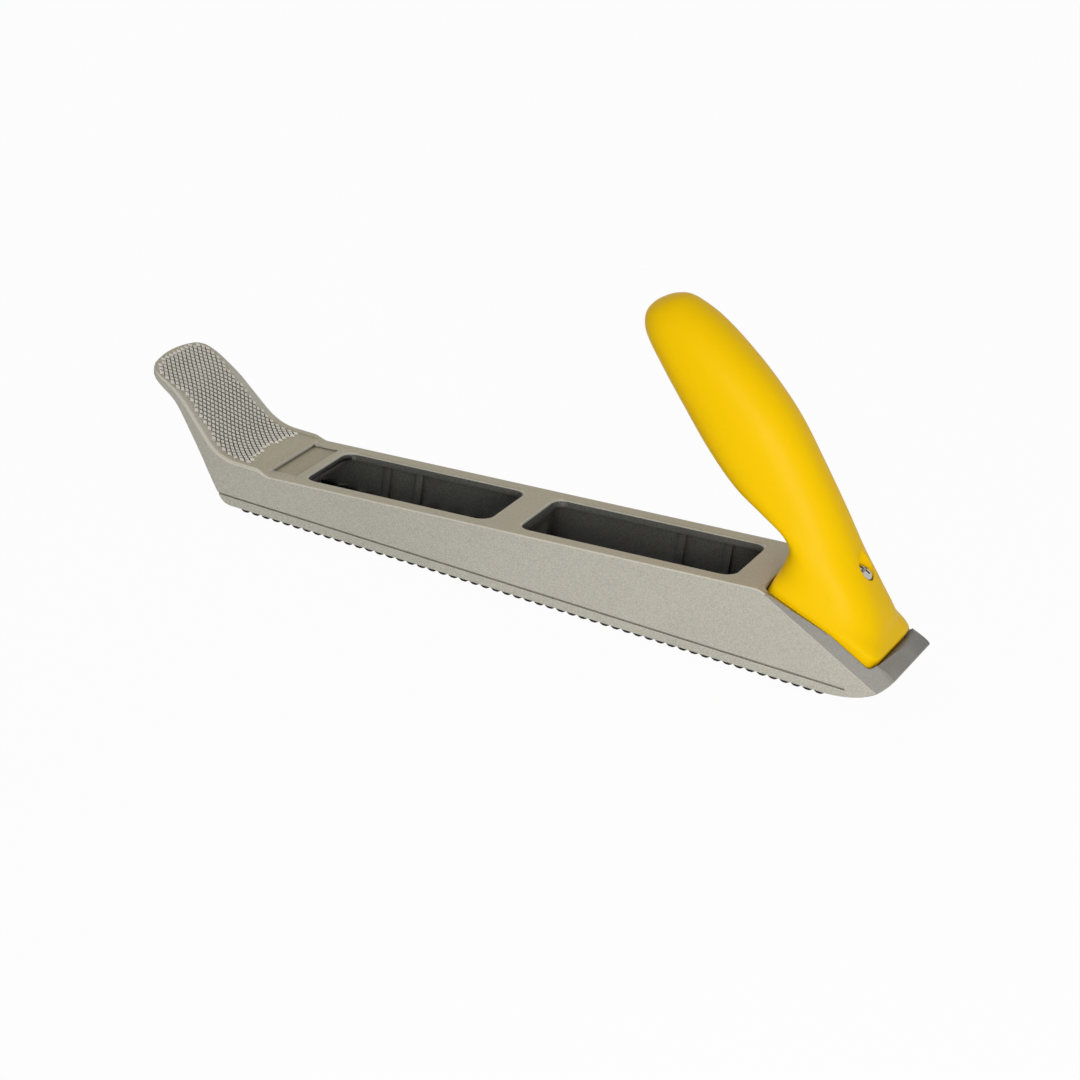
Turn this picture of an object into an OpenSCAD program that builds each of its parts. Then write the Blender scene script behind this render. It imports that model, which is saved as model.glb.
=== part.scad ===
// Rasp plane: a die-cast body with two open windows, a perforated rasp blade drawn tight
// along its underside, and a swept plastic handle held in a sloping pocket by one screw.
// Millimetres. X runs from the toe (-) to the heel (+), Y across the body, Z up from the
// tooth tips, which lie at z = 0.

/* [View] */
// Piece to draw

/* [Body casting] */
// Overall length from the toe tip to the heel
body_l = 298.2; // [270:0.1:330]
// Width over the side walls
body_w = 45; // [42:0.5:52]
// Height of the deck above the tooth tips at mid-length
deck_h = 24.2; // [23:0.1:30]
// Rise of the deck towards the heel, in degrees
deck_tilt = 4.4; // [3.6:0.1:5]
// Thickness of the deck
deck_t = 3; // [2:0.1:4]
// Thickness of the side walls
wall_t = 3.2; // [2.6:0.1:4.4]
// Thickness of the thin rails beside the blade
rail_t = 1.8; // [1.2:0.1:2.2]
// Height of the score line on the sides above the rail edge
score_h = 3.5; // [2.6:0.1:4]
// Width of the score line
score_w = 0.7; // [0.5:0.1:1]
// Depth of the score line
score_d = 0.45; // [0.3:0.05:0.6]
// Thickness of the front wall along X
toe_wall = 3.6; // [3:0.1:5]
// Rounding of the deck's long edges
deck_edge = 0.6; // [0.3:0.1:1]

/* [Toe] */
// Distance from the toe tip back to the foot of the front face
toe_reach = 39.7; // [36:0.1:44]
// Height of the toe tip above the tooth tips
tip_h = 44.9; // [40:0.1:50]
// Width of the toe just behind its tip
toe_w = 38.2; // [36:0.1:42]
// Radius of the tip's front edge seen from above
tip_arc = 60; // [45:1:90]
// Rounding of the corners of the tip seen from above
tip_corner = 5.5; // [3:0.1:8]
// Distance from the tip back to where the toe begins to widen
flare_x0 = 12; // [9:0.5:16]
// Distance from the tip back to where it has the full width of the body
flare_x1 = 33.5; // [30:0.5:38]
// Thickness of the lip at the tip
lip_t = 1.7; // [1.5:0.1:3]
// Slope of the underside of the lip, in degrees
lip_tilt = 31.5; // [29:0.5:34]
// Slope of the front face, in degrees
face_tilt = 52.5; // [50:0.1:56]
// How far the front face is hollowed from a straight line
face_hollow = 0.9; // [0:0.1:1.5]
// Rounding of the foot of the front face
foot_r = 3.2; // [2:0.1:4]
// Slope of the outer part of the lip, in degrees
brow_tilt = 25; // [22:0.5:28]
// Length of that outer part along X
brow_l = 15.7; // [14:0.1:18]
// Slope of the thumb rest below it, in degrees
rest_tilt = 43; // [40:0.5:48]
// Height of the rim of the level pad at the foot of the thumb rest
pad_h = 18.8; // [18.2:0.1:20]
// Distance from the toe tip back to the rear edge of the pad
pad_l = 51.2; // [50:0.1:54]
// Length of the soft step from the pad down to the deck
step_l = 6; // [4:0.5:8]
// Rounding of the lip's lower edge at the tip
lip_r = 0.7; // [0.5:0.1:0.9]
// Rounding between the front face and the underside of the lip
under_r = 4; // [2:0.5:6]
// Rounding between the outer part of the lip and the thumb rest
brow_r = 7; // [4:0.1:8]
// Rounding between the thumb rest and the pad
rest_r = 7.5; // [5:0.1:9]
// Width of the rounded rim along each side of the thumb rest
rim_w = 2.6; // [2:0.1:3]
// Drop of that rim at the side face
rim_d = 1.1; // [0.8:0.1:1.4]
// Width and drop of the rim round the tip
tip_rim = 0.9; // [0.7:0.1:1.1]
// Depth of the thumb rest between its rims
dish_d = 0.6; // [0.4:0.1:0.8]

/* [Knurl] */
// Pitch of the raised diamonds
knurl_pitch = 2.5; // [2.4:0.1:4]
// Width of the grooves between the diamonds
knurl_gap = 0.9; // [0.8:0.1:1.4]
// Height of the diamonds
knurl_h = 0.5; // [0.3:0.05:0.8]
// Width of the knurled field
knurl_w = 32; // [28:0.5:32.5]
// Bare margin behind the toe tip
knurl_tip = 2.8; // [2:0.1:8]
// Distance from the toe tip back to the ends of the curved lower edge of the knurl
knurl_l = 48; // [44:0.1:50]
// How far that edge bows towards the toe at its middle
knurl_bow = 3; // [2:0.5:8]

/* [Label recess] */
// Length of the shallow bare recess along X
label_l = 10.2; // [8:0.1:11]
// Width of the recess across the deck
label_w = 31.4; // [24:0.1:34]
// Depth of the recess
label_d = 0.6; // [0.4:0.1:1]
// Gap between the recess and the first window
label_gap = 3.6; // [3:0.1:6]

/* [Windows] */
// Distance from the toe tip to the first window
window_x = 68.6; // [67:0.1:80]
// Length of the first window
window_1_l = 73; // [60:1:85]
// Width of both windows
window_w = 33; // [28:0.5:34]
// Width of the bridge between the windows
bridge_l = 12.2; // [9:0.1:18]
// Deck left between the second window and the handle pocket
land_l = 11.5; // [10.5:0.1:16]
// Bevel round the top of each window
window_bevel = 0.6; // [0.3:0.1:0.8]
// Corner radius of the windows
window_r = 4.5; // [3:0.1:7]
// Depth of the turned-down lip at each window end
window_lip = 4.2; // [3.5:0.1:5]
// Thickness of those lips
window_lip_t = 2; // [1.6:0.1:2.6]
// Thickness of the web under the bridge
web_t = 3; // [2:0.1:5]
// Depth of the web under the deck
web_beam = 5; // [4:0.1:7]
// Width of each post of the web
web_post = 5; // [3:0.1:7]
// Width of the ribs inside the walls
rib_w = 2.6; // [2:0.1:4]
// Height of the ribs off the wall
rib_h = 1.2; // [0.8:0.1:1.8]

/* [Heel and handle pocket] */
// Distance from the heel end to the top of the heel slope
heel_l = 51.8; // [50:0.1:60]
// Fall of the heel slope, in degrees
slope_tilt = 20; // [18:0.5:22]
// Length of the pocket along the slope
pocket_l = 47; // [42:0.5:48]
// Width of the pocket
pocket_w = 40; // [38:0.5:41]
// Depth of the pocket square to the slope
pocket_d = 5; // [4:0.1:5.5]
// Corner radius of the pocket
pocket_r = 3; // [2:0.1:5]
// Land between the top of the slope and the pocket
pocket_land = 1; // [0.8:0.1:2]
// Floor thickness under the pocket
floor_t = 3; // [2.5:0.1:4]
// Length over which the underside of the heel curves up
heel_rise_l = 23; // [18:0.5:26]
// Height of the rounded nose of the heel
nose_h = 11.4; // [9:0.1:13]
// Distance that the side bevel of the heel drops below the slope at the heel end
bevel_drop = 8; // [5:0.1:10]
// Slant of that bevel away from the side wall, in degrees
bevel_tilt = 56.6; // [50:0.1:62]
// Solid left in front of the rear lug and before the top of the slope
heel_web = 4; // [3:0.1:5]
// Length of the slanting root of the rear lug
lug_root = 6; // [4:0.5:8]

/* [Blade] */
// Thickness of the blade strip
blade_t = 1; // [0.7:0.05:1.2]
// Distance from the foot of the front face to the front end of the blade
blade_front = 3; // [2.8:0.1:4]
// Distance from the heel end to the rear end of the blade
blade_rear = 18; // [17:0.5:24]
// Gap between the blade and each rail
blade_gap = 0.2; // [0.1:0.05:0.3]
// Height of the teeth below the strip
tooth_h = 1.6; // [1:0.1:2]
// Spacing of the teeth along one row
tooth_pitch = 8.5; // [8:0.1:10]
// Spacing of the rows, each shifted half a pitch from the next
row_pitch = 3.4; // [3.2:0.1:3.6]
// Number of rows
rows = 11; // [7:2:11]
// Width of one tooth
tooth_w = 4; // [3:0.1:4.4]
// Length of the rounded back behind a cutting edge
tooth_l = 3.7; // [2.6:0.1:4]
// Length of the hole in front of each tooth
hole_l = 2.8; // [2:0.1:3]
// Width of that hole
hole_w = 4.4; // [3:0.1:4.8]
// Plain margin at each end of the blade
blade_plain = 4.5; // [3.5:0.1:8]
// Width of the slots that the hooks pass through
slot_w = 7; // [6:0.5:10]

/* [Handle] */
// How far the grip sweeps forward along the slope, from the screw to its tip
grip_reach = 109.6; // [95:0.1:120]
// How far the grip rises square to the slope
grip_rise = 65.4; // [60:0.1:75]
// Half of the width of the grip
grip_half_w = 14.6; // [12.5:0.1:16]
// Gap all round the foot in its pocket
foot_gap = 0.8; // [0.4:0.1:1.2]
// Corner sharpness of the foot, as the power of its oval
foot_power = 9; // [6:0.5:12]
// Diameter of the spigot under the foot
spigot_d = 12; // [10:0.1:14]
// Length of the spigot
spigot_l = 2.6; // [2:0.1:3]
// Height of the straight rim of the foot above the heel slope
foot_rim = 0.6; // [0.4:0.1:1]

/* [Handle screw] */
// Thread diameter of the handle screw
hscrew_d = 4; // [3.5:0.1:4.5]
// Height of the seat of its washer above the heel slope
hscrew_seat = 14.6; // [12:0.1:15]
// Length under the head
hscrew_l = 30; // [29:0.5:31]
// Diameter of its head
hscrew_head_d = 7.6; // [7:0.1:8]
// Height of its head
hscrew_head_h = 2.4; // [2:0.1:3]
// Diameter of the bore that takes the head
head_bore_d = 8.8; // [8.6:0.1:9.4]
// Width across the flats of the nut under the pocket
hnut_flats = 7; // [6.6:0.1:7.6]
// Thickness of the nut
hnut_t = 3.2; // [2.4:0.1:3.4]
// Diameter of the boss round the nut
boss_d = 17; // [16:0.5:19]

/* [Blade tension] */
// Height of the tension screw above the tooth tips
tension_h = 9.2; // [9:0.1:9.6]
// Thread diameter of the tension screw
tscrew_d = 5; // [4:0.1:5]
// Length of the tension screw under its head
tscrew_l = 22; // [20:0.5:24]
// Diameter of its head
tscrew_head_d = 8; // [7.5:0.1:8.4]
// Height of its head
tscrew_head_h = 3; // [2.5:0.1:3.4]
// Wall left behind the washer
tension_wall = 4.5; // [4:0.1:5]
// Travel of the hook as the blade is slackened
tension_travel = 4.8; // [3:0.1:4.8]
// Length of the hook block
hook_l = 10; // [9.5:0.1:11]
// Width of the hook block
hook_w = 14; // [12:0.1:15]
// Length of the peg that holds the blade
peg_l = 3; // [2.5:0.1:3.4]
// Width of the pegs
peg_w = 5.6; // [4.5:0.1:5.8]
// Width of the square nut in the hook
tnut_w = 8; // [7.5:0.1:8]
// Thickness of the square nut
tnut_t = 4; // [3:0.1:4.2]
// Distance from the front of the hook to its nut
tnut_set = 4.4; // [3.8:0.1:4.8]
// Thickness of the cheeks that guide the hook
guide_t = 2.4; // [2:0.1:3]

/* [Fits] */
// Gap between seated faces
seat_gap = 0.05; // [0.02:0.01:0.1]
// Radial gap of a running fit
run_gap = 0.06; // [0.03:0.01:0.1]
// Gap round a loose hole
loose_gap = 0.3; // [0.2:0.05:0.5]

/* [Hidden] */
$fn = 48;
// Overlap of pieces that join
eps = 0.01;
root_sink = 0.6;
// How far a cut runs past what it cuts
cut = 1;
far = 200;
// Steps along a curve
arc_n = 8;
// Soft turn from the deck into the heel slope
heel_turn = 1.2;
// Corners of the heel seen from above
heel_corner = 3;
// Soft turns where the toe begins and ends its flare
flare_turn = 3;
// Distance down the heel slope in which the rounding of the edges fades out
run_out = 5;
// Flat left between the rounded rim and the dish of the thumb rest
rim_gap = 0.3;
// How far the curve of the rim starts and ends clear of the faces that it joins
rim_clear = 0.02;
// Length over which that dish deepens behind the tip
dish_run = 5;
// How far the bevel of a window starts inside it
window_inset = 0.1;

cast_grey = [0.66, 0.645, 0.595];
blade_black = [0.08, 0.08, 0.085];
grip_yellow = [0.97, 0.79, 0.02];
zinc = [0.74, 0.74, 0.72];

// Places along X
toe_x = -body_l / 2;
heel_x = body_l / 2;
face_x = toe_x + toe_reach;
pad_x = toe_x + pad_l;
step_x = pad_x + step_l;
win1_x0 = toe_x + window_x;
win1_x1 = win1_x0 + window_1_l;
win2_x0 = win1_x1 + bridge_l;
slope_x = heel_x - heel_l;
win2_x1 = slope_x - land_l;

// Heights
rail_z = tooth_h;
ledge_z = tooth_h + blade_t + seat_gap;
function deck_z(x) = deck_h + x * tan(deck_tilt);
function slope_z(x) = deck_z(slope_x) - (x - slope_x) * tan(slope_tilt);

// Widths
inner_y = body_w / 2 - wall_t;
channel_y = body_w / 2 - rail_t;
blade_w = 2 * (channel_y - blade_gap);

// Lip and front face
face_run = tan(90 - face_tilt);
under_h = tip_h - lip_t / cos(lip_tilt);
brow_x = toe_x + brow_l;
brow_z = tip_h - brow_l * tan(brow_tilt);
rest_x = brow_x + (brow_z - pad_h) / tan(rest_tilt);
// where the front face meets the underside of the lip
under_x = (face_x * tan(face_tilt) + rail_z - under_h - toe_x * tan(lip_tilt))
    / (tan(face_tilt) - tan(lip_tilt));
under_z = under_h - (under_x - toe_x) * tan(lip_tilt);
function face_at(z) = face_x - (z - rail_z) * face_run;

// Handle pocket: its middle on the slope, which the screw axis passes through
pocket_u0 = pocket_land / cos(slope_tilt);
seat_x = slope_x + (pocket_u0 + pocket_l / 2) * cos(slope_tilt);
seat_z = slope_z(seat_x);
boss_v = -pocket_d - floor_t;
spigot_bore_d = spigot_d + 2 * run_gap;
spigot_bore_v = -pocket_d - spigot_l - loose_gap;
hwasher_t = 0.8;
hwasher_d = head_bore_d - 2 * loose_gap;
hscrew_v = hscrew_seat + hwasher_t + 2 * seat_gap;
hscrew_tip = hscrew_v - hscrew_l;
hnut_v = hscrew_tip + 0.8;
hnut_d = hnut_flats / cos(30);
boss_end = hnut_v - 0.5;

// Blade tension, all along X
blade_x0 = face_x + blade_front;
blade_x1 = heel_x - blade_rear;
tseat_x = face_x + 1.4;
twasher_t = 0.8;
twasher_d = 8.8;
tscrew_x = tseat_x - twasher_t - 2 * seat_gap;
tbore_d = twasher_d + 2 * loose_gap;
twall_x = tseat_x + tension_wall;
clip_t = 0.8;
clip_d = 8;
clip_x = twall_x + 0.1;
hook_x = clip_x + clip_t + 0.6;
hook_z0 = ledge_z + loose_gap;
hook_z1 = tension_h + 3.6;
tnut_z1 = min(tension_h + tnut_w / 2, hook_z1);
guide_x = hook_x + hook_l + tension_travel + 0.5;
tnut_x = hook_x + tnut_set;
peg_z = tooth_h - 0.6;
slot1_x0 = hook_x - seat_gap;
slot1_x1 = hook_x + peg_l + tension_travel + loose_gap;
lug_x1 = blade_x1 - blade_plain;
slot2_x1 = lug_x1 + seat_gap;
slot2_x0 = lug_x1 - peg_l - tension_travel;

// Curves

// A quadratic curve from a to c that bends towards b
function bend(a, b, c, n = arc_n) =
    [for (i = [0 : n]) let (t = i / n) (1 - t) * (1 - t) * a + 2 * t * (1 - t) * b + t * t * c];

function toward(p, q, s) = p + (q - p) * s / norm(q - p);

// Corner p between a and b, rounded over a length s
function soft(p, a, b, s, n = arc_n) = bend(toward(p, a, s), p, toward(p, b, s), n);

function flip(list) = [for (i = [len(list) - 1 : -1 : 0]) list[i]];

// The numbers of a list in rising order, each once
function sorted(v) =
    len(v) < 2 ? v :
    let (p = v[0])
    concat(sorted([for (x = v) if (x < p) x]), [p], sorted([for (x = v) if (x > p) x]));

// Shared shapes

// A closed solid through a row of rings that have the same number of points
module loft(rings) {
    n = len(rings[0]);
    sides = [
        for (r = [0 : len(rings) - 2], k = [0 : n - 1])
            let (m = (k + 1) % n, a = r * n)
            [a + k, a + n + k, a + n + m, a + m]
    ];
    start = [for (k = [0 : n - 1]) k];
    end = [for (k = [n - 1 : -1 : 0]) (len(rings) - 1) * n + k];
    polyhedron([for (ring = rings) each ring], concat(sides, [start, end]), convexity = 6);
}

// A plate with outline pts in X and Z, w wide across Y
module across(pts, w) {
    translate([0, w / 2, 0])
        rotate([90, 0, 0])
            linear_extrude(w)
                polygon(pts);
}

// A block between two corners, centred on Y
module block(x0, x1, w, z0, z1) {
    translate([x0, -w / 2, z0])
        cube([x1 - x0, w, z1 - z0]);
}

// A flat rectangle with round corners, centred on Y
module soft_rect(x0, x1, w, r) {
    translate([x0 + r, -w / 2])
        square([x1 - x0 - 2 * r, w]);
    translate([x0, -w / 2 + r])
        square([x1 - x0, w - 2 * r]);
    for (x = [x0 + r, x1 - r], y = [-w / 2 + r, w / 2 - r]) {
        translate([x, y])
            circle(r);
    }
}

// Puts a child on the screw axis: its Z is square to the heel slope, measured from it
module on_seat() {
    translate([seat_x, 0, seat_z])
        rotate([0, slope_tilt, 0])
            children();
}

// Puts a child on the tension axis, its Z along +X from x
module on_tension(x) {
    translate([x, 0, tension_h])
        rotate([0, 90, 0])
            children();
}

// Cross recess for a screw head, cut downwards from z = 0
module cross_recess(size, depth) {
    for (a = [0, 90]) {
        rotate([0, 0, a])
            translate([-size / 2, -size / 9, -depth])
                cube([size, size / 4.5, depth + cut]);
    }
    translate([0, 0, -depth - 0.2])
        cylinder(h = depth, d = size / 2.4);
}

// Body casting

tip_top = [toe_x, tip_h];
tip_under = [toe_x, under_h];
under_pt = [under_x, under_z];
face_pt = [face_x, rail_z];
brow_pt = [brow_x, brow_z];
rest_pt = [rest_x, pad_h];
pad_pt = [pad_x, pad_h];
step_pt = [step_x, deck_z(step_x)];
slope_pt = [slope_x, deck_z(slope_x)];
nose_top = [heel_x, slope_z(heel_x)];
rise_x = heel_x - heel_rise_l;

face_mid = [(face_x + under_x) / 2 + face_hollow, (rail_z + under_z) / 2];

// The top seen from the side: thumb rest, soft step and the turn into the heel slope
rest_line = concat(
    soft(brow_pt, tip_top, rest_pt, brow_r),
    soft(rest_pt, brow_pt, pad_pt, rest_r)
);
step_line = [
    for (t = [0 : 1 / arc_n : 1]) pad_pt + [t * step_l, t * t * (3 - 2 * t) * (step_pt[1] - pad_h)]
];
heel_line = soft(slope_pt, step_pt, nose_top, heel_turn, 4);

side_outline = concat(
    soft(face_pt, [heel_x, rail_z], face_mid, foot_r),
    soft(face_mid, face_pt, under_pt, toe_wall * 2, 4),
    soft(under_pt, face_mid, tip_under, under_r, 4),
    soft(tip_under, under_pt, tip_top, lip_r, 4),
    [tip_top],
    rest_line,
    step_line,
    heel_line,
    bend(toward(nose_top, slope_pt, 4), nose_top, [heel_x, nose_h], 6),
    bend([heel_x, nose_h], [heel_x - heel_rise_l / 4, rail_z + 0.8], [rise_x, rail_z], 14)
);

// The hollow under the deck, from the blade up
cavity_outline = [
    [face_at(ledge_z) + toe_wall, ledge_z - cut],
    [face_at(pad_h - deck_t) + toe_wall, pad_h - deck_t],
    [pad_x - step_l / 2, pad_h - deck_t],
    [step_x - step_l / 2, deck_z(step_x) - deck_t],
    [win2_x1 + 3, deck_z(win2_x1 + 3) - deck_t],
    [slope_x - heel_web, slope_z(slope_x - heel_web) - (pocket_d + floor_t) / cos(slope_tilt)],
    [lug_x1 - heel_web, slope_z(lug_x1 - heel_web) - (pocket_d + floor_t) / cos(slope_tilt)],
    [lug_x1 - heel_web, ledge_z - cut]
];

// One side of the tip seen from above, from the middle out: x, y and the angle at which the
// edge faces away from -X
tip_y = toe_w / 2 - tip_corner;
function tip_x(y) = toe_x + tip_arc - sqrt(tip_arc * tip_arc - y * y);
corner_pt = [tip_x(toe_w / 2), toe_w / 2];
corner_line = bend([tip_x(tip_y), tip_y], corner_pt, corner_pt + [tip_corner, 0], 5);
tip_turn = asin(tip_y / tip_arc);
tip_line = concat(
    [for (k = [0 : 3]) let (y = tip_y * k / 4) [tip_x(y), y, asin(y / tip_arc)]],
    [for (k = [0 : 5]) concat(corner_line[k], [tip_turn + (90 - tip_turn) * k / 5])]
);

// Half of the width where the toe flares out to the body
flare_line = concat(
    soft([toe_x + flare_x0, toe_w / 2], [toe_x, toe_w / 2], [toe_x + flare_x1, body_w / 2], flare_turn, 3),
    soft([toe_x + flare_x1, body_w / 2], [toe_x + flare_x0, toe_w / 2], [heel_x, body_w / 2], flare_turn, 3)
);
function half_w(x) = lookup(x, flare_line);

module plan_outline() {
    half = concat([for (p = tip_line) [p[0], p[1]]], flare_line, [[heel_x + cut, body_w / 2]]);
    intersection() {
        polygon(concat(half, flip([for (p = half) [p[0], -p[1]]])));
        soft_rect(toe_x - far, heel_x, body_w, heel_corner);
    }
}

module casting() {
    intersection() {
        across(side_outline, body_w);
        linear_extrude(tip_h + cut)
            plan_outline();
    }
}

// Stations along the toe and deck where the top or the width changes direction
top_line = concat([tip_top], rest_line, step_line, heel_line);
function top_z(x) = lookup(x, top_line);
edge_x = sorted(concat(
    [for (p = concat(rest_line, step_line, heel_line)) p[0]],
    [for (p = flare_line) p[0]],
    [corner_pt[0] + tip_corner]
));

// Width and drop of the rounding along the edge
function rim_wide(x) = lookup(x, [
    [toe_x + flare_x0, tip_rim], [brow_x, rim_w], [pad_x, rim_w], [step_x, deck_edge]
]);
function rim_drop(x) = lookup(x, [
    [toe_x + flare_x0, tip_rim], [brow_x, rim_d], [pad_x, rim_d], [step_x, deck_edge]
]);

// Cut that rounds the top edge at p, whose side faces o
function rim_section(p, o) =
    let (
        in = rim_wide(p[0]) * [-o[0], -o[1], o[0] * tan(brow_tilt)],
        down = [0, 0, -rim_drop(p[0])],
        up = [0, 0, 1],
        curve = bend(p + in + rim_clear * up, p + rim_clear * (o + up), p + down + rim_clear * o, 3)
    )
    concat([p + in + up], curve, [p + down + o, p + o + up]);

near_rim = concat(
    [
        let (p = toward(slope_pt, nose_top, run_out))
        rim_section([p[0], -body_w / 2, p[1]], [0, -1, 0])
    ],
    [for (x = flip(edge_x)) rim_section([x, -half_w(x), top_z(x)], [0, -1, 0])],
    [
        for (k = [len(tip_line) - 2 : -1 : 0])
            let (p = tip_line[k])
            rim_section([p[0], -p[1], top_z(p[0])], [-cos(p[2]), -sin(p[2]), 0])
    ]
);

// Rounds the edge of the top, all the way round the toe
module rim_cut() {
    far_rim = [for (ring = near_rim) [for (p = ring) [p[0], -p[1], p[2]]]];
    loft(concat(near_rim, [for (k = [len(far_rim) - 2 : -1 : 0]) far_rim[k]]));
}

// Depth of the dish of the thumb rest, and the stations along it
dish_x0 = toe_x + tip_corner / 2;
function dish_at(x) = lookup(x, [
    [dish_x0, 0], [dish_x0 + dish_run, dish_d], [pad_x, dish_d], [step_x, 0]
]);
dish_x = sorted([
    for (x = concat([dish_x0, dish_x0 + dish_run / 2, dish_x0 + dish_run], edge_x)) if (x < step_x) x
]);

// Sinks the thumb rest between its rims
module dish_cut() {
    loft([
        for (x = dish_x)
            let (
                edge = half_w(x) - rim_wide(x) - rim_gap,
                top = top_z(x) + eps,
                low = top_z(x) - dish_at(x)
            )
            [
                [x, -edge, top], [x, -knurl_w / 2, low], [x, knurl_w / 2, low],
                [x, edge, top], [x, edge, top + 3 * cut], [x, -edge, top + 3 * cut]
            ]
    ]);
}

// The cut that bevels one side of the heel: it leaves the top of the slope at the side
// face and drops away from the slope towards the heel
module heel_bevel() {
    run = heel_x - slope_x;
    fall = slope_pt[1] - nose_top[1] + bevel_drop;
    tilt = atan(fall / run);
    translate([slope_x, -body_w / 2, slope_pt[1]])
        rotate([0, tilt, 0])
            rotate([bevel_tilt, 0, 0])
                translate([0, -far / 2, 0])
                    cube([far, far, far / 4]);
}

module windows() {
    translate([0, 0, ledge_z]) {
        linear_extrude(far) {
            soft_rect(win1_x0, win1_x1, window_w, window_r);
            soft_rect(win2_x0, win2_x1, window_w, window_r);
        }
    }
}

// Points of a rectangle with round corners, grown by g all round, at height z
function soft_ring(l, w, r, g, z, n = 6) = [
    for (c = [0 : 3], i = [0 : n])
        let (
            a = 90 * c + 90 * i / n,
            mid = [c == 0 || c == 3 ? l - r : r, c < 2 ? w / 2 - r : r - w / 2]
        )
        [mid[0] + (r + g) * cos(a), mid[1] + (r + g) * sin(a), z]
];

// Bevel round the top of the window between x0 and x1
module window_rim(x0, x1) {
    l = (x1 - x0) / cos(deck_tilt);
    rim_r = window_r + window_inset;
    translate([x0, 0, deck_z(x0)])
        rotate([0, -deck_tilt, 0])
            loft([
                soft_ring(l, window_w, rim_r, -window_inset, -window_bevel - window_inset),
                soft_ring(l, window_w, rim_r, window_bevel + cut, cut)
            ]);
}

// Lip under the deck at one window end, between x0 and x1
module window_end(x0, x1) {
    across([
        [x0, deck_z(x0) - window_lip],
        [x1, deck_z(x1) - window_lip],
        [x1, deck_z(x1) - deck_t + eps],
        [x0, deck_z(x0) - deck_t + eps]
    ], 2 * inner_y + 2 * eps);
}

module window_ends() {
    window_end(win1_x0 - window_lip_t, win1_x0);
    window_end(win1_x1, win1_x1 + window_lip_t);
    window_end(win2_x0 - window_lip_t, win2_x0);
    window_end(win2_x1, win2_x1 + window_lip_t);
}

// Portal frame under the bridge
module bridge_web() {
    web_x = win2_x0 - web_t;
    top = deck_z(web_x) - deck_t;
    difference() {
        block(web_x - web_t / 2, web_x + web_t / 2, 2 * inner_y + 2 * eps, ledge_z, top + 0.5);
        block(web_x - web_t, web_x + web_t, 2 * (inner_y - web_post), ledge_z - cut, top - web_beam);
    }
}

module wall_ribs() {
    span1 = win1_x1 - win1_x0;
    span2 = win2_x1 - win2_x0;
    places = [
        win1_x0 + span1 * 0.22, win1_x0 + span1 * 0.4,
        win2_x0 + span2 * 0.6, win2_x0 + span2 * 0.82
    ];
    for (x = places, side = [-1, 1]) {
        translate([x - rib_w / 2, side > 0 ? inner_y - rib_h : -inner_y - eps, ledge_z])
            cube([rib_w, rib_h + eps, deck_z(x) - deck_t - ledge_z + eps]);
    }
}

// Wall behind the tension screw with the two cheeks that guide the hook
module tension_block() {
    top = pad_h - deck_t + eps;
    across([
        [face_at(ledge_z) + toe_wall - root_sink, ledge_z],
        [face_at(top) + toe_wall - root_sink, top],
        [twall_x, top],
        [twall_x, ledge_z]
    ], hook_w + 2 * (run_gap + guide_t));
    for (side = [-1, 1]) {
        y0 = hook_w / 2 + run_gap;
        translate([twall_x - eps, side > 0 ? y0 : -y0 - guide_t, ledge_z])
            cube([guide_x - twall_x, guide_t, deck_z(step_x) - deck_t - ledge_z - seat_gap]);
    }
}

module nut_boss() {
    intersection() {
        on_seat()
            translate([0, 0, boss_end])
                cylinder(h = boss_v - boss_end + 1, d = boss_d);
        block(slope_x - 2, heel_x, body_w - 2, ledge_z + 0.5, far);
    }
}

// Fixed lug that the rear slot of the blade hooks over
module rear_lug() {
    block(lug_x1 - peg_l, lug_x1, peg_w, peg_z, ledge_z + 3);
    across([
        [lug_x1 - peg_l - lug_root, slope_z(lug_x1 - peg_l - lug_root) - pocket_d],
        [lug_x1 - peg_l, ledge_z],
        [lug_x1, ledge_z],
        [lug_x1, slope_z(lug_x1) - pocket_d]
    ], peg_w);
}

module pocket() {
    on_seat()
        translate([0, 0, -pocket_d])
            linear_extrude(far)
                soft_rect(-pocket_l / 2, pocket_l / 2, pocket_w, pocket_r);
}

module seat_bores() {
    on_seat() {
        translate([0, 0, spigot_bore_v])
            cylinder(h = -pocket_d - spigot_bore_v + cut, d = spigot_bore_d);
        translate([0, 0, hnut_v - far / 10])
            cylinder(h = far / 10 + spigot_bore_v - hnut_v + cut, d = hscrew_d + 2 * run_gap);
        translate([0, 0, boss_end - far / 20])
            cylinder(h = far / 20 + hnut_v + hnut_t - boss_end, d = hnut_d + 2 * seat_gap, $fn = 6);
    }
}

module tension_bores() {
    on_tension(toe_x)
        cylinder(h = tseat_x - toe_x, d = tbore_d);
    on_tension(tseat_x - cut)
        cylinder(h = tension_wall + 2 * cut, d = tscrew_d + 2 * run_gap);
}

module score_lines() {
    for (side = [-1, 1]) {
        translate([face_x - 4, side * body_w / 2 - score_d, rail_z + score_h - score_w / 2])
            cube([heel_x - face_x - heel_rise_l / 2, 2 * score_d, score_w]);
    }
}

module label_recess() {
    x1 = win1_x0 - label_gap;
    across([
        [x1 - label_l, deck_z(x1 - label_l) - label_d],
        [x1, deck_z(x1) - label_d],
        [x1, tip_h],
        [x1 - label_l, tip_h]
    ], label_w);
}

// The knurled field seen from above
module knurl_plan() {
    x0 = toe_x + knurl_tip;
    x1 = toe_x + knurl_l;
    bow_r = (knurl_w * knurl_w / 4 + knurl_bow * knurl_bow) / (2 * knurl_bow);
    difference() {
        intersection() {
            soft_rect(x0, x1 + far, knurl_w, tip_corner);
            translate([x0, -knurl_w / 2])
                square([x1 - x0, knurl_w]);
        }
        translate([x1 - knurl_bow + bow_r, 0])
            circle(bow_r, $fn = 96);
    }
}

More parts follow.
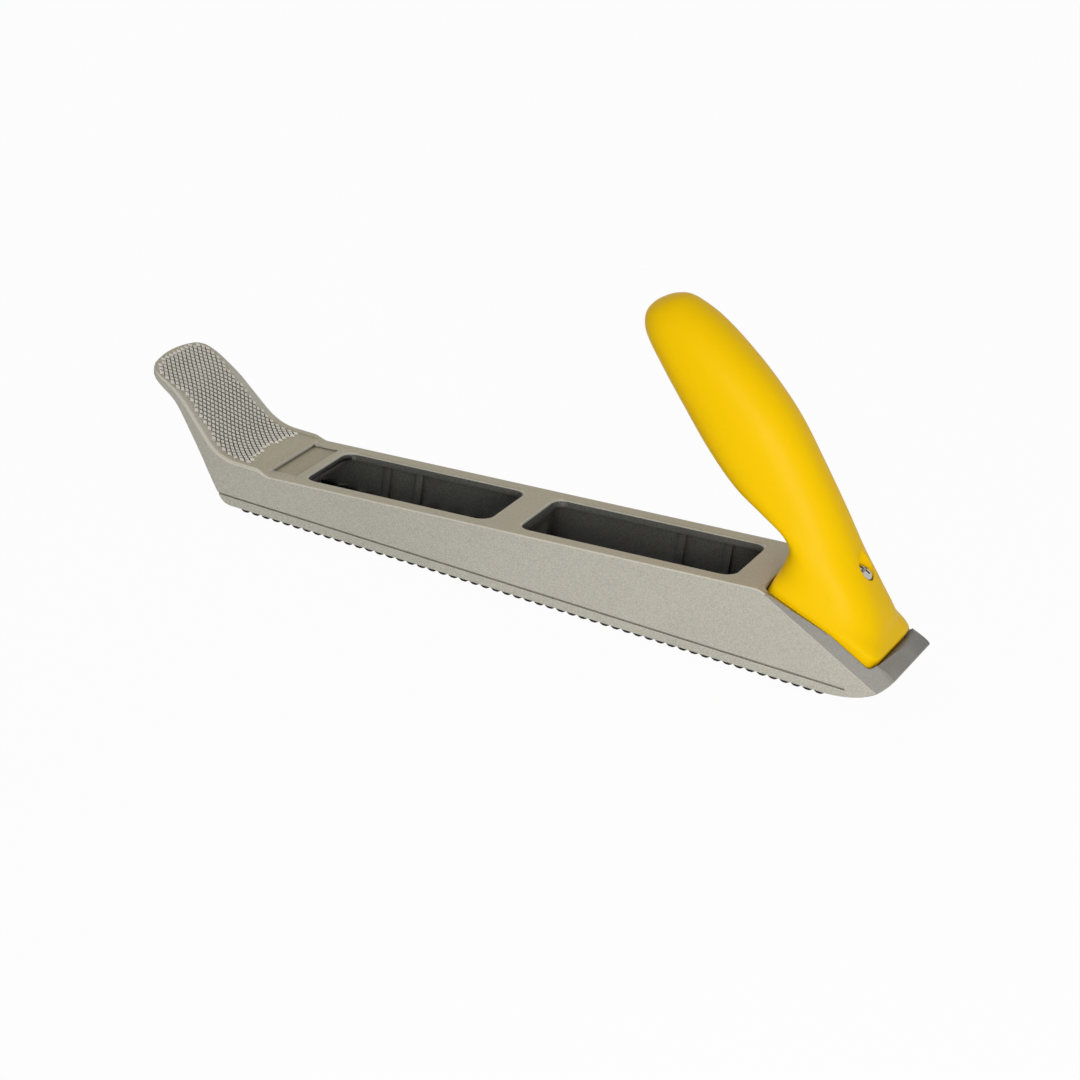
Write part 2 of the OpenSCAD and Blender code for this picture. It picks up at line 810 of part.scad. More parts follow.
// Thin skin that follows the thumb rest, cut into diamonds by two sets of slanting strips
module knurl() {
    skin = [for (x = dish_x) [x, top_z(x) - dish_at(x)]];
    lift = [0, knurl_h];
    sink = [0, -root_sink];
    intersection() {
        across(concat([for (p = skin) p + lift], [for (p = flip(skin)) p + sink]), knurl_w);
        linear_extrude(far)
            knurl_plan();
        knurl_strips(1);
        knurl_strips(-1);
    }
}

module knurl_strips(side) {
    run = (pad_x - toe_x + body_w) / sqrt(2);
    count = ceil(run / knurl_pitch);
    translate([(toe_x + pad_x) / 2, 0, 0])
        rotate([0, 0, 45 * side])
            for (i = [-count / 2 : count / 2]) {
                translate([i * knurl_pitch, -body_l / 4, 0])
                    cube([knurl_pitch - knurl_gap, body_l / 2, tip_h + 2]);
            }
}

module body() {
    color(cast_grey) {
        difference() {
            union() {
                difference() {
                    casting();
                    across(cavity_outline, 2 * inner_y);
                    block(blade_x0 - blade_gap, blade_x1 + blade_gap, 2 * channel_y, -cut, ledge_z);
                    windows();
                }
                window_ends();
                bridge_web();
                wall_ribs();
                tension_block();
                nut_boss();
                rear_lug();
            }
            heel_bevel();
            mirror([0, 1, 0])
                heel_bevel();
            pocket();
            seat_bores();
            tension_bores();
            score_lines();
            rim_cut();
            dish_cut();
            window_rim(win1_x0, win1_x1);
            window_rim(win2_x0, win2_x1);
            label_recess();
        }
        knurl();
    }
}

// Blade

teeth_x0 = blade_x0 + 1.2 + hole_l;
teeth_n = floor((blade_x1 - 1.2 - tooth_l - teeth_x0) / tooth_pitch);
row_half = (rows - 1) / 2;
tooth_root = 0.2;

function tooth_x(i, odd) = teeth_x0 + (i + (odd ? 0.5 : 0)) * tooth_pitch;
function odd_row(j) = abs(j) % 2 == 1;
function last_tooth(odd) = odd ? teeth_n - 1 : teeth_n;

// True where a tooth would meet one of the hook slots
function at_slot(x, y) =
    abs(y) < slot_w / 2 + hole_w / 2 + 1
    && (x < slot1_x1 + hole_l + 1.2 || x + tooth_l > slot2_x0 - 1.2);

module tooth_hole() {
    half_w = hole_w / 2;
    nip = hole_l / 2.6;
    polygon([
        [0, nip - half_w], [0, half_w - nip], [-hole_l / 2, half_w],
        [-hole_l, half_w - nip], [-hole_l, nip - half_w], [-hole_l / 2, -half_w]
    ]);
}

module blade_plate() {
    translate([0, 0, tooth_h])
        linear_extrude(blade_t)
            difference() {
                translate([blade_x0, -blade_w / 2])
                    square([blade_x1 - blade_x0, blade_w]);
                for (j = [-row_half : row_half], i = [0 : last_tooth(odd_row(j))]) {
                    if (!at_slot(tooth_x(i, odd_row(j)), j * row_pitch)) {
                        translate([tooth_x(i, odd_row(j)), j * row_pitch])
                            tooth_hole();
                    }
                }
                translate([slot1_x0, -slot_w / 2])
                    square([slot1_x1 - slot1_x0, slot_w]);
                translate([slot2_x0, -slot_w / 2])
                    square([slot2_x1 - slot2_x0, slot_w]);
            }
}

// Side of one tooth: the cutting edge at the hole, with a back that curves up to the strip
function tooth_side(x) = concat(
    [[x, tooth_h + tooth_root]],
    bend([x, 0], [x + tooth_l * 0.7, 0], [x + tooth_l, tooth_h + tooth_root], 3)
);

// Front of one tooth: an arch, so its edge is a scallop
tooth_front = concat(
    [for (a = [0 : 45 : 180]) [tooth_w / 2 * cos(a), -tooth_h * sin(a)]],
    [[-tooth_w / 2, tooth_root], [tooth_w / 2, tooth_root]]
);

// All the teeth of the odd or even rows: bars across the strip, trimmed to arches along it
module teeth(odd) {
    intersection() {
        union() {
            for (i = [0 : last_tooth(odd)]) {
                across(tooth_side(tooth_x(i, odd)), blade_w);
            }
        }
        union() {
            for (j = [-row_half : row_half]) {
                if (odd_row(j) == odd) {
                    translate([blade_x0, j * row_pitch, tooth_h])
                        rotate([90, 0, 90])
                            linear_extrude(blade_x1 - blade_x0)
                                polygon(tooth_front);
                }
            }
        }
    }
}

module blade() {
    color(blade_black) {
        blade_plate();
        difference() {
            union() {
                teeth(false);
                teeth(true);
            }
            block(blade_x0 - cut, slot1_x1 + hole_l + 1.2, slot_w + 2, -cut, tooth_h + cut);
            block(slot2_x0 - 1.2 - tooth_l, blade_x1 + cut, slot_w + 2, -cut, tooth_h + cut);
        }
    }
}

// Handle

// Sections of the grip in the frame of the slope, from the neck to the tip: front edge
// along and above the slope, rear edge along and above it, half width, oval power and how
// much the rear narrows. They are drawn for one size of grip and stretched to the size set.
grip_sections = [
    [-23.4, 4.0, 18.9, 4.2, 17.8, 4.5, 0.06],
    [-23.8, 8.0, 14.9, 8.4, 16.4, 3.4, 0.14],
    [-25.6, 13.5, 5.6, 15.3, 15.2, 2.9, 0.22],
    [-31.2, 16.8, -3.0, 21.3, 14.6, 2.7, 0.25],
    [-40.4, 17.7, -15.4, 30.6, 14.4, 2.6, 0.25],
    [-52.4, 19.2, -30.6, 40.9, 14.6, 2.5, 0.20],
    [-66.6, 24.6, -45.4, 50.2, 14.8, 2.4, 0.15],
    [-81.8, 32.5, -59.4, 56.6, 14.6, 2.3, 0.10],
    [-95.0, 40.1, -73.2, 61.2, 14.1, 2.3, 0.08],
    [-105.8, 46.6, -85.5, 64.4, 12.6, 2.2, 0.05],
    [-109.6, 51.6, -94.4, 65.4, 10.0, 2.1, 0],
    [-109.2, 56.4, -99.8, 65.2, 6.4, 2.1, 0],
    [-106.8, 60.4, -103.2, 63.7, 2.4, 2, 0]
];
drawn_reach = 109.6;
drawn_rise = 65.4;
drawn_half_w = 14.6;
section_fit = [
    grip_reach / drawn_reach, grip_rise / drawn_rise, grip_reach / drawn_reach,
    grip_rise / drawn_rise, grip_half_w / drawn_half_w, 1, 1
];

foot_l = pocket_l - 2 * foot_gap;
foot_w = pocket_w - 2 * foot_gap;
foot_v = seat_gap - pocket_d;
function foot_section(v) = [-foot_l / 2, v, foot_l / 2, v, foot_w / 2, foot_power, 0];

grip_keys = concat(
    [foot_section(foot_v), foot_section(foot_v / 2), foot_section(foot_rim)],
    [for (s = grip_sections) [for (k = [0 : 6]) s[k] * section_fit[k]]]
);
grip_steps = 3;
grip_sides = 32;

// A smooth curve through four values in a row, at t between the middle two
function flow(a, b, c, d, t) =
    b + 0.5 * t * ((c - a) + t * ((2 * a - 5 * b + 4 * c - d) + t * (3 * (b - c) + d - a)));

function section_at(i, t) = flow(
    grip_keys[max(i - 1, 0)], grip_keys[i], grip_keys[i + 1], grip_keys[min(i + 2, len(grip_keys) - 1)], t
);

// The foot is straight, so its sections step evenly; the grip flows
sections = concat(
    [grip_keys[0], grip_keys[1]],
    [for (i = [2 : len(grip_keys) - 2], k = [0 : grip_steps - 1]) section_at(i, k / grip_steps)],
    [grip_keys[len(grip_keys) - 1]]
);

function power(v, p) = sign(v) * pow(abs(v), p);

// One point of a section at angle a: the oval runs from the rear edge round by +Y
function section_point(s, a) =
    let (
        along = power(cos(a), 2 / s[5]),
        wide = s[4] * power(sin(a), 2 / s[5]) * (1 - s[6] * along),
        mid = [(s[0] + s[2]) / 2, (s[1] + s[3]) / 2],
        half = [(s[2] - s[0]) / 2, (s[3] - s[1]) / 2]
    )
    [mid[0] + half[0] * along, wide, mid[1] + half[1] * along];

module grip() {
    loft([
        for (s = sections)
            [for (k = [0 : grip_sides - 1]) section_point(s, (k + 0.5) * 360 / grip_sides)]
    ]);
}

module handle() {
    color(grip_yellow)
        on_seat()
            difference() {
                union() {
                    grip();
                    translate([0, 0, -pocket_d - spigot_l])
                        cylinder(h = spigot_l + cut, d = spigot_d);
                }
                translate([0, 0, -pocket_d - spigot_l - cut])
                    cylinder(h = hscrew_seat + pocket_d + spigot_l + 2 * cut, d = hscrew_d + 2 * loose_gap);
                translate([0, 0, hscrew_seat])
                    cylinder(h = far / 8, d = head_bore_d);
            }
}

module handle_washer() {
    color(zinc)
        on_seat()
            translate([0, 0, hscrew_seat + seat_gap])
                difference() {
                    cylinder(h = hwasher_t, d = hwasher_d);
                    translate([0, 0, -cut])
                        cylinder(h = hwasher_t + 2 * cut, d = hscrew_d + 2 * run_gap);
                }
}

module handle_screw() {
    color(zinc)
        on_seat()
            translate([0, 0, hscrew_v])
                difference() {
                    union() {
                        rotate_extrude()
                            polygon(concat(
                                [[0, 0], [hscrew_head_d / 2, 0]],
                                bend(
                                    [hscrew_head_d / 2, hscrew_head_h / 3],
                                    [hscrew_head_d / 2.4, hscrew_head_h],
                                    [0, hscrew_head_h], 6
                                )
                            ));
                        translate([0, 0, 0.8 - hscrew_l])
                            cylinder(h = hscrew_l - 0.8 + eps, d = hscrew_d);
                        translate([0, 0, -hscrew_l])
                            cylinder(h = 0.8 + eps, d1 = hscrew_d - 1.2, d2 = hscrew_d);
                    }
                    translate([0, 0, hscrew_head_h])
                        cross_recess(hscrew_head_d * 0.62, hscrew_head_h * 0.6);
                }
}

module handle_nut() {
    color(zinc)
        on_seat()
            translate([0, 0, hnut_v])
                difference() {
                    cylinder(h = hnut_t - seat_gap, d = hnut_d, $fn = 6);
                    translate([0, 0, -cut])
                        cylinder(h = hnut_t + 2 * cut, d = hscrew_d + 2 * run_gap);
                }
}

// Blade tension

module draw_hook() {
    color(zinc)
        difference() {
            union() {
                block(hook_x, hook_x + hook_l, hook_w, hook_z0, hook_z1);
                block(hook_x, hook_x + peg_l, peg_w, peg_z, hook_z0 + eps);
            }
            on_tension(hook_x - cut)
                cylinder(h = hook_l + 2 * cut, d = tscrew_d + 2 * loose_gap);
            translate([tnut_x - seat_gap, -tnut_w / 2 - seat_gap, tension_h - tnut_w / 2 - seat_gap])
                cube([tnut_t + 2 * seat_gap, tnut_w + 2 * seat_gap, far]);
        }
}

module tension_nut() {
    color(zinc)
        difference() {
            block(tnut_x, tnut_x + tnut_t, tnut_w, tension_h - tnut_w / 2, tnut_z1);
            on_tension(tnut_x - cut)
                cylinder(h = tnut_t + 2 * cut, d = tscrew_d + 2 * run_gap);
        }
}

module tension_washer() {
    color(zinc)
        on_tension(tseat_x - seat_gap - twasher_t)
            difference() {
                cylinder(h = twasher_t, d = twasher_d);
                translate([0, 0, -cut])
                    cylinder(h = twasher_t + 2 * cut, d = tscrew_d + 2 * run_gap);
            }
}

module tension_screw() {
    groove_d = tscrew_d - 1;
    groove_x = clip_x - tscrew_x;
    color(zinc)
        on_tension(tscrew_x)
            difference() {
                union() {
                    rotate_extrude()
                        polygon(concat(
                            [[0, 0], [tscrew_head_d / 2, 0]],
                            bend(
                                [tscrew_head_d / 2, -tscrew_head_h * 0.7],
                                [tscrew_head_d / 2, -tscrew_head_h],
                                [tscrew_head_d / 2 - 0.9, -tscrew_head_h], 4
                            ),
                            [[0, -tscrew_head_h]]
                        ));
                    translate([0, 0, -eps])
                        cylinder(h = tscrew_l - 0.9, d = tscrew_d);
                    translate([0, 0, tscrew_l - 0.95])
                        cylinder(h = 0.95, d1 = tscrew_d, d2 = tscrew_d - 1.6);
                }
                translate([0, 0, -tscrew_head_h])
                    rotate([180, 0, 0])
                        cross_recess(tscrew_head_d * 0.6, tscrew_head_h * 0.6);
                translate([0, 0, groove_x])
                    difference() {
                        cylinder(h = clip_t, d = tscrew_d + cut);
                        translate([0, 0, -cut])
                            cylinder(h = clip_t + 2 * cut, d = groove_d);
                    }
            }
}

// Snap ring in the screw's groove, open on one side
module tension_clip() {
    color(zinc)
        on_tension(clip_x + seat_gap)
            difference() {
                cylinder(h = clip_t - 2 * seat_gap, d = clip_d);
                translate([0, 0, -cut])
                    cylinder(h = clip_t + 2 * cut, d = tscrew_d - 1 + 2 * seat_gap);
                translate([0, -tscrew_d * 0.35, -cut])
                    cube([clip_d, tscrew_d * 0.7, clip_t + 2 * cut]);
            }
}

// Drawing

body();
blade();
handle();
handle_screw();
handle_washer();
handle_nut();
draw_hook();
tension_nut();
tension_screw();
tension_washer();
tension_clip();
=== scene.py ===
"""Rasp plane: cast body with two windows, punched rasp blade, swept yellow grip."""
import math

import bmesh
import bpy
import numpy as np
from mathutils import Matrix, Vector


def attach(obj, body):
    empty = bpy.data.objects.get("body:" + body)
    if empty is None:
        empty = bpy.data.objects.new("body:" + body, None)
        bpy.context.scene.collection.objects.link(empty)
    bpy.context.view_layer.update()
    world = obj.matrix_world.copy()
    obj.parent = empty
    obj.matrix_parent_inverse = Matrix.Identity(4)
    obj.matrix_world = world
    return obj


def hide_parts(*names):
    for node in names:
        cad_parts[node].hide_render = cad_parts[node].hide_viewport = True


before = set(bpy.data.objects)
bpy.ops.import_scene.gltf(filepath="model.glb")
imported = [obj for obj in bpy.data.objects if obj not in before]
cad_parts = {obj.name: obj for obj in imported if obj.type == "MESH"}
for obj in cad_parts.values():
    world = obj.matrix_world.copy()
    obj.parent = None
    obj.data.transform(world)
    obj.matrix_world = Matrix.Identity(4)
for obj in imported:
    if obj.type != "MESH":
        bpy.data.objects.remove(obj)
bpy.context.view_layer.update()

MM = 0.001


# Sizes, in millimetres as in the part's source
TOE_X, HEEL_X, BODY_W = -149.1, 149.1, 45.0
TIP_H, PAD_H = 44.9, 18.8
BROW_TILT, BROW_L, BROW_R, REST_TILT, REST_R = 25.0, 15.7, 7.0, 43.0, 7.5
PAD_X, STEP_L = -97.9, 6.0
TOE_W, FLARE_X0, FLARE_X1, TIP_ARC, TIP_CORNER = 38.2, 12.0, 33.5, 60.0, 5.5
FLARE_SOFT, FLARE_STEPS = 3.0, 3
RIM_W, TIP_RIM, STEP_RIM, RIM_GAP, DISH_D, DISH_RUN = 2.6, 0.9, 0.6, 0.3, 0.6, 5.0
KNURL_W, KNURL_TIP, KNURL_END, KNURL_BOW, DISH_WALL = 39.2, 1.3, 48.0, 3.0, 0.8
DISH_X0 = TOE_X + TIP_CORNER / 2
PANEL_X0, PANEL_X1, PANEL_W, PANEL_D, BAR_X = -94.3, -84.1, 31.4, 0.6, 141.0
DECK_H, DECK_TILT = 24.2, 4.4
SLOPE_X, SLOPE_TILT = 97.3, 20.0
SEAT = Vector((120.3828, 0, 23.2854))
BLADE_X0, BLADE_X1, BLADE_W, BLADE_T, TOOTH_H = -106.4, 131.1, 41.0, 1.0, 1.6
SLOT_W, SLOTS = 7.0, ((-102.05, -93.9), (118.8, 126.65))
HEAD_V, SHANK_L, SHANK_D = 15.5, 30.0, 4.0
TENSION_X, TENSION_H, TENSION_L, TENSION_D = -108.9, 9.2, 22.0, 5.0


def tan(degrees):
    return math.tan(math.radians(degrees))


def deck_z(x):
    """The height of the deck's top."""
    return DECK_H + x * tan(DECK_TILT)


def linear(r, g, b):
    """A colour as picked on screen, 0 to 255, as the shader wants it."""
    def one(v):
        v /= 255
        return v / 12.92 if v <= 0.04045 else ((v + 0.055) / 1.055) ** 2.4
    return one(r), one(g), one(b), 1.0


bpy.context.scene.view_settings.view_transform = "Standard"


# Camera, fitted to the photograph
CAMERA_PLACE = (0.40815, -0.98454, 0.48428)
CAMERA_FORWARD = (-0.34521818, 0.84700552, -0.40423516)
CAMERA_UP = (-0.27657179, 0.31977605, 0.90622918)
LENS = 108.73


def aim_camera(place, forward, up, lens):
    """A camera at place that looks forward, with its top turned up."""
    camera = bpy.data.objects.new("camera", bpy.data.cameras.new("camera"))
    bpy.context.scene.collection.objects.link(camera)
    back = -Vector(forward).normalized()
    right = Vector(up).cross(back).normalized()
    turn = Matrix((right, back.cross(right), back)).transposed().to_4x4()
    camera.matrix_world = Matrix.Translation(place) @ turn
    camera.data.lens = lens
    camera.data.sensor_width = 36
    camera.data.clip_start = 0.05
    camera.data.clip_end = 50
    bpy.context.scene.camera = camera


# Node helpers
class Sheet:
    """A node tree being drawn: add() places a node, sets its values and joins its inputs."""

    def __init__(self, tree):
        self.tree = tree

    def add(self, kind, inputs=None, **settings):
        node = self.tree.nodes.new(kind)
        for name, value in settings.items():
            setattr(node, name, value)
        for name, value in (inputs or {}).items():
            socket = node.inputs[name]
            if isinstance(value, bpy.types.NodeSocket):
                self.tree.links.new(value, socket)
            else:
                socket.default_value = value
        return node

    def math(self, operation, a, b=0.0, clamp=False):
        return self.add("ShaderNodeMath", {0: a, 1: b}, operation=operation, use_clamp=clamp).outputs[0]

    def give(self, node, values):
        """Joins outputs to the inputs of a node that stands already."""
        for name, value in values.items():
            self.tree.links.new(value, node.inputs[name])

    def mix(self, factor, a, b, blend="MIX"):
        node = self.add("ShaderNodeMix", data_type="RGBA", blend_type=blend)
        for socket, value in ((node.inputs[0], factor), (node.inputs[6], a), (node.inputs[7], b)):
            if isinstance(value, bpy.types.NodeSocket):
                self.tree.links.new(value, socket)
            else:
                socket.default_value = value
        return node.outputs[2]

    def span(self, value, low, high, to_low, to_high):
        return self.add(
            "ShaderNodeMapRange",
            {"Value": value, "From Min": low, "From Max": high, "To Min": to_low, "To Max": to_high},
        ).outputs[0]

    def grid(self, columns, rows, step_x, step_y, first_x, shift_y=0.0):
        """Points in columns that start at first_x, and in rows spread evenly about shift_y."""
        long = self.math("MULTIPLY", self.math("SUBTRACT", columns, 1.0), step_x)
        wide = self.math("MULTIPLY", self.math("SUBTRACT", rows, 1.0), step_y)
        size = {"Size X": long, "Size Y": wide, "Vertices X": columns, "Vertices Y": rows}
        mesh = self.add("GeometryNodeMeshGrid", size).outputs["Mesh"]
        middle = self.math("ADD", first_x, self.math("MULTIPLY", long, 0.5))
        offset = self.add("ShaderNodeCombineXYZ", {"X": middle, "Y": shift_y}).outputs[0]
        return self.add("GeometryNodeSetPosition", {"Geometry": mesh, "Offset": offset}).outputs[0]

    def attribute(self, name):
        return self.add("GeometryNodeInputNamedAttribute", {"Name": name}, data_type="FLOAT").outputs[0]

    def close(self, end, geometry, material, spare=None):
        """Ends a geometry tree: instances made real, a spare attribute dropped, the material set."""
        solid = self.add("GeometryNodeRealizeInstances", {"Geometry": geometry}).outputs[0]
        if spare:
            solid = self.add("GeometryNodeRemoveAttribute", {"Geometry": solid, "Name": spare}).outputs[0]
        coated = self.add("GeometryNodeSetMaterial", {"Geometry": solid, "Material": material})
        self.give(end, {0: coated.outputs[0]})


def new_group(kind, name, inputs, outputs):
    """An empty group with named inputs and outputs, and the sheet to draw it on."""
    tree = bpy.data.node_groups.new(name, kind)
    for label, socket_type, value in inputs:
        socket = tree.interface.new_socket(label, in_out="INPUT", socket_type=socket_type)
        if value is not None:
            socket.default_value = value
    for label, socket_type in outputs:
        tree.interface.new_socket(label, in_out="OUTPUT", socket_type=socket_type)
    sheet = Sheet(tree)
    start = sheet.add("NodeGroupInput")
    end = sheet.add("NodeGroupOutput")
    return tree, sheet, start, end


# Surface effects shared by the materials
def grain_group():
    """Noise of one grain size: the height of the grain, its specks and a few pits."""
    tree, sheet, start, end = new_group(
        "ShaderNodeTree", "Surface grain",
        [("Size", "NodeSocketFloat", 1.0), ("Fine Share", "NodeSocketFloat", 0.5)],
        [("Height", "NodeSocketFloat"), ("Speck", "NodeSocketFloat"), ("Pit", "NodeSocketFloat")],
    )
    place = sheet.add("ShaderNodeTexCoord").outputs["Object"]
    rate = sheet.math("DIVIDE", 1000.0, start.outputs["Size"])

    def noise(times, **settings):
        inputs = {"Vector": place, "Scale": sheet.math("MULTIPLY", rate, times), **settings}
        return sheet.add("ShaderNodeTexNoise", inputs).outputs["Fac"]

    coarse = noise(1.0, Detail=3.0, Roughness=0.55)
    fine = noise(2.6, Detail=2.0, Roughness=0.6)
    spots = noise(0.9, Detail=1.0)
    share = start.outputs["Fine Share"]
    fine_part = sheet.math("MULTIPLY", fine, share)
    coarse_part = sheet.math("MULTIPLY", coarse, sheet.math("SUBTRACT", 1.0, share))
    sheet.give(end, {
        "Height": sheet.math("ADD", fine_part, coarse_part),
        "Speck": sheet.span(fine, 0.32, 0.68, -1.0, 1.0),
        "Pit": sheet.span(spots, 0.72, 0.78, 0.0, 1.0),
    })
    return tree


def edge_sheen_group():
    """A painted highlight along outer edges, patchy like wear, and the normal that rounds them."""
    tree, sheet, start, end = new_group(
        "ShaderNodeTree", "Edge sheen and wear",
        [("Radius", "NodeSocketFloat", 0.0005), ("Patch Size", "NodeSocketFloat", 6.0)],
        [("Sheen", "NodeSocketFloat"), ("Normal", "NodeSocketVector")],
    )
    rounded = sheet.add("ShaderNodeBevel", {"Radius": start.outputs["Radius"]}, samples=6).outputs[0]
    flat = sheet.add("ShaderNodeNewGeometry").outputs["Normal"]
    turn = sheet.add("ShaderNodeVectorMath", {0: rounded, 1: flat}, operation="DOT_PRODUCT")
    edge = sheet.span(turn.outputs["Value"], 0.998, 0.97, 0.0, 1.0)
    place = sheet.add("ShaderNodeTexCoord").outputs["Object"]
    rate = sheet.math("DIVIDE", 1000.0, start.outputs["Patch Size"])
    patch = sheet.add("ShaderNodeTexNoise", {"Vector": place, "Scale": rate, "Detail": 4.0})
    wear_and_sheen = sheet.span(patch.outputs["Fac"], 0.35, 0.62, 0.4, 1.0)
    sheet.give(end, {"Sheen": sheet.math("MULTIPLY", edge, wear_and_sheen, True), "Normal": rounded})
    return tree


def drift_group():
    """A slow change of tone from -1 to 1 over large patches."""
    tree, sheet, start, end = new_group(
        "ShaderNodeTree", "Tone drift",
        [("Patch Size", "NodeSocketFloat", 40.0)],
        [("Drift", "NodeSocketFloat")],
    )
    place = sheet.add("ShaderNodeTexCoord").outputs["Object"]
    rate = sheet.math("DIVIDE", 1000.0, start.outputs["Patch Size"])
    cloud = sheet.add("ShaderNodeTexNoise", {"Vector": place, "Scale": rate, "Detail": 3.0})
    sheet.give(end, {"Drift": sheet.span(cloud.outputs["Fac"], 0.3, 0.7, -1.0, 1.0)})
    return tree


def hollow_group():
    """How far a point lies in a groove or an inner corner, from 0 in the open to 1."""
    tree, sheet, start, end = new_group(
        "ShaderNodeTree", "Hollow shade",
        [("Reach", "NodeSocketFloat", 0.0015)],
        [("Shade", "NodeSocketFloat")],
    )
    reach = {"Distance": start.outputs["Reach"]}
    seen = sheet.add("ShaderNodeAmbientOcclusion", reach, samples=6, only_local=True)
    sheet.give(end, {"Shade": sheet.span(seen.outputs["AO"], 0.92, 0.5, 0.0, 1.0)})
    return tree


def top_shade_group():
    """A mask of the faces that look up, which get a painted shade and reflection: a darker, warmer tone."""
    tree, sheet, start, end = new_group(
        "ShaderNodeTree", "Painted top shade",
        [("From", "NodeSocketFloat", 0.7), ("To", "NodeSocketFloat", 0.97)],
        [("Up", "NodeSocketFloat")],
    )
    normal = sheet.add("ShaderNodeNewGeometry").outputs["Normal"]
    height = sheet.add("ShaderNodeSeparateXYZ", {0: normal}).outputs["Z"]
    low, high = start.outputs["From"], start.outputs["To"]
    sheet.give(end, {"Up": sheet.span(height, low, high, 0.0, 1.0)})
    return tree


GRAIN, EDGE_SHEEN, DRIFT = grain_group(), edge_sheen_group(), drift_group()
HOLLOW, TOP_SHADE = hollow_group(), top_shade_group()
# Dark tone multiplied in, both for the painted shade in hollows and for the real dark pits
SHADE_AND_PIT_TONE = (0.12, 0.11, 0.09, 1.0)
ROUGH_SPREAD = 0.06


def new_finish(name):
    """A new material with its sheet and its shader."""
    material = bpy.data.materials.new(name)
    material.use_nodes = True
    sheet = Sheet(material.node_tree)
    shader = material.node_tree.nodes["Principled BSDF"]
    return material, sheet, shader


def finish(name, colour, sheen_colour, metal, rough, grain_mm, grain_depth, speck, drift, edge_mm, sheen_share,
           sheen_metal=None, specular=0.5, hollow_shade=0.5, shade_reach_mm=1.5, pits=0.0, top_shade_tint=None):
    """A surface with grain, a slow drift of tone, a painted highlight in patches along its outer edges,
    painted shade darkening its hollows, and dark pits.

    Sizes in millimetres are grain_mm, grain_depth, edge_mm and the reach of the painted shade in hollows;
    the other numbers are shares.
    """
    material, sheet, shader = new_finish(name)
    grain = sheet.add("ShaderNodeGroup", {"Size": grain_mm}, node_tree=GRAIN).outputs
    edge_sheen = sheet.add("ShaderNodeGroup", {"Radius": edge_mm * MM}, node_tree=EDGE_SHEEN).outputs
    tone = sheet.add("ShaderNodeGroup", node_tree=DRIFT).outputs
    hollow = sheet.add("ShaderNodeGroup", {"Reach": shade_reach_mm * MM}, node_tree=HOLLOW).outputs

    specks = sheet.math("MULTIPLY", grain["Speck"], speck)
    light = sheet.math("ADD", specks, sheet.math("MULTIPLY", tone["Drift"], drift))
    gain = sheet.math("ADD", light, 1.0)
    shade = sheet.add("ShaderNodeCombineColor", {"Red": gain, "Green": gain, "Blue": gain})
    base = sheet.mix(1.0, colour, shade.outputs[0], "MULTIPLY")
    # painted shade and reflection: faces that look up are darker and warmer
    if top_shade_tint:
        up = sheet.add("ShaderNodeGroup", node_tree=TOP_SHADE).outputs["Up"]
        base = sheet.mix(up, base, sheet.mix(1.0, base, top_shade_tint, "MULTIPLY"))

    # painted highlight along convex edges, in patches like wear, kept out of the hollows
    in_open = sheet.math("SUBTRACT", 1.0, hollow["Shade"])
    wear_and_sheen = sheet.math("MULTIPLY", sheet.math("MULTIPLY", edge_sheen["Sheen"], in_open), sheen_share)
    edged = sheet.mix(wear_and_sheen, base, sheen_colour)
    # painted shade: darker in grooves and inner corners, where shade falls; the pits are real marks
    in_hollows = sheet.math("MULTIPLY", hollow["Shade"], hollow_shade)
    shade_and_pits = sheet.math("MAXIMUM", in_hollows, sheet.math("MULTIPLY", grain["Pit"], pits))
    bump = sheet.add(
        "ShaderNodeBump",
        {"Strength": 1.0, "Distance": grain_depth * MM, "Height": grain["Height"], "Normal": edge_sheen["Normal"]},
    )
    low, high = rough - ROUGH_SPREAD, rough + ROUGH_SPREAD
    sheet.give(shader, {
        "Base Color": sheet.mix(shade_and_pits, edged, sheet.mix(1.0, edged, SHADE_AND_PIT_TONE, "MULTIPLY")),
        "Roughness": sheet.span(grain["Height"], 0.35, 0.65, low, high),
        "Normal": bump.outputs[0],
    })
    shader.inputs["Specular IOR Level"].default_value = specular
    shader.inputs["Metallic"].default_value = metal
    if sheen_metal is not None:
        sheet.give(shader, {"Metallic": sheet.span(wear_and_sheen, 0.0, 1.0, metal, sheen_metal)})
    return material


LACQUER = finish(
    "grey_lacquer", linear(183, 180, 168), linear(202, 198, 183), metal=0.12, rough=0.42,
    grain_mm=1.2, grain_depth=0.04, speck=0.18, drift=0.03, edge_mm=0.6, sheen_share=0.85,
    sheen_metal=0.5, specular=0.4, hollow_shade=0.9, pits=0.22, top_shade_tint=(0.9, 0.82, 0.66, 1.0),
)
# Painted highlight and shade: a lighter, more metallic copy of the lacquer for the knurl, with painted
# shade in the grooves between diamonds
HIGHLIT_KNURL = finish(
    "knurl_with_painted_highlight", linear(206, 203, 191), linear(244, 241, 230), metal=0.35, rough=0.26,
    grain_mm=1.0, grain_depth=0.03, speck=0.10, drift=0.03, edge_mm=0.2, sheen_share=0.95,
    sheen_metal=0.8, hollow_shade=1.0, shade_reach_mm=2.4,
)
# Painted shade: a darker copy of the lacquer for the heel's bar and rail bevels; its pits are real marks
SHADED_HEEL_BAR = finish(
    "heel_bar_painted_shade", linear(128, 125, 118), linear(182, 177, 162), metal=0.15, rough=0.42,
    grain_mm=1.2, grain_depth=0.04, speck=0.14, drift=0.04, edge_mm=0.45, sheen_share=0.75,
    hollow_shade=0.9, pits=0.4,
)
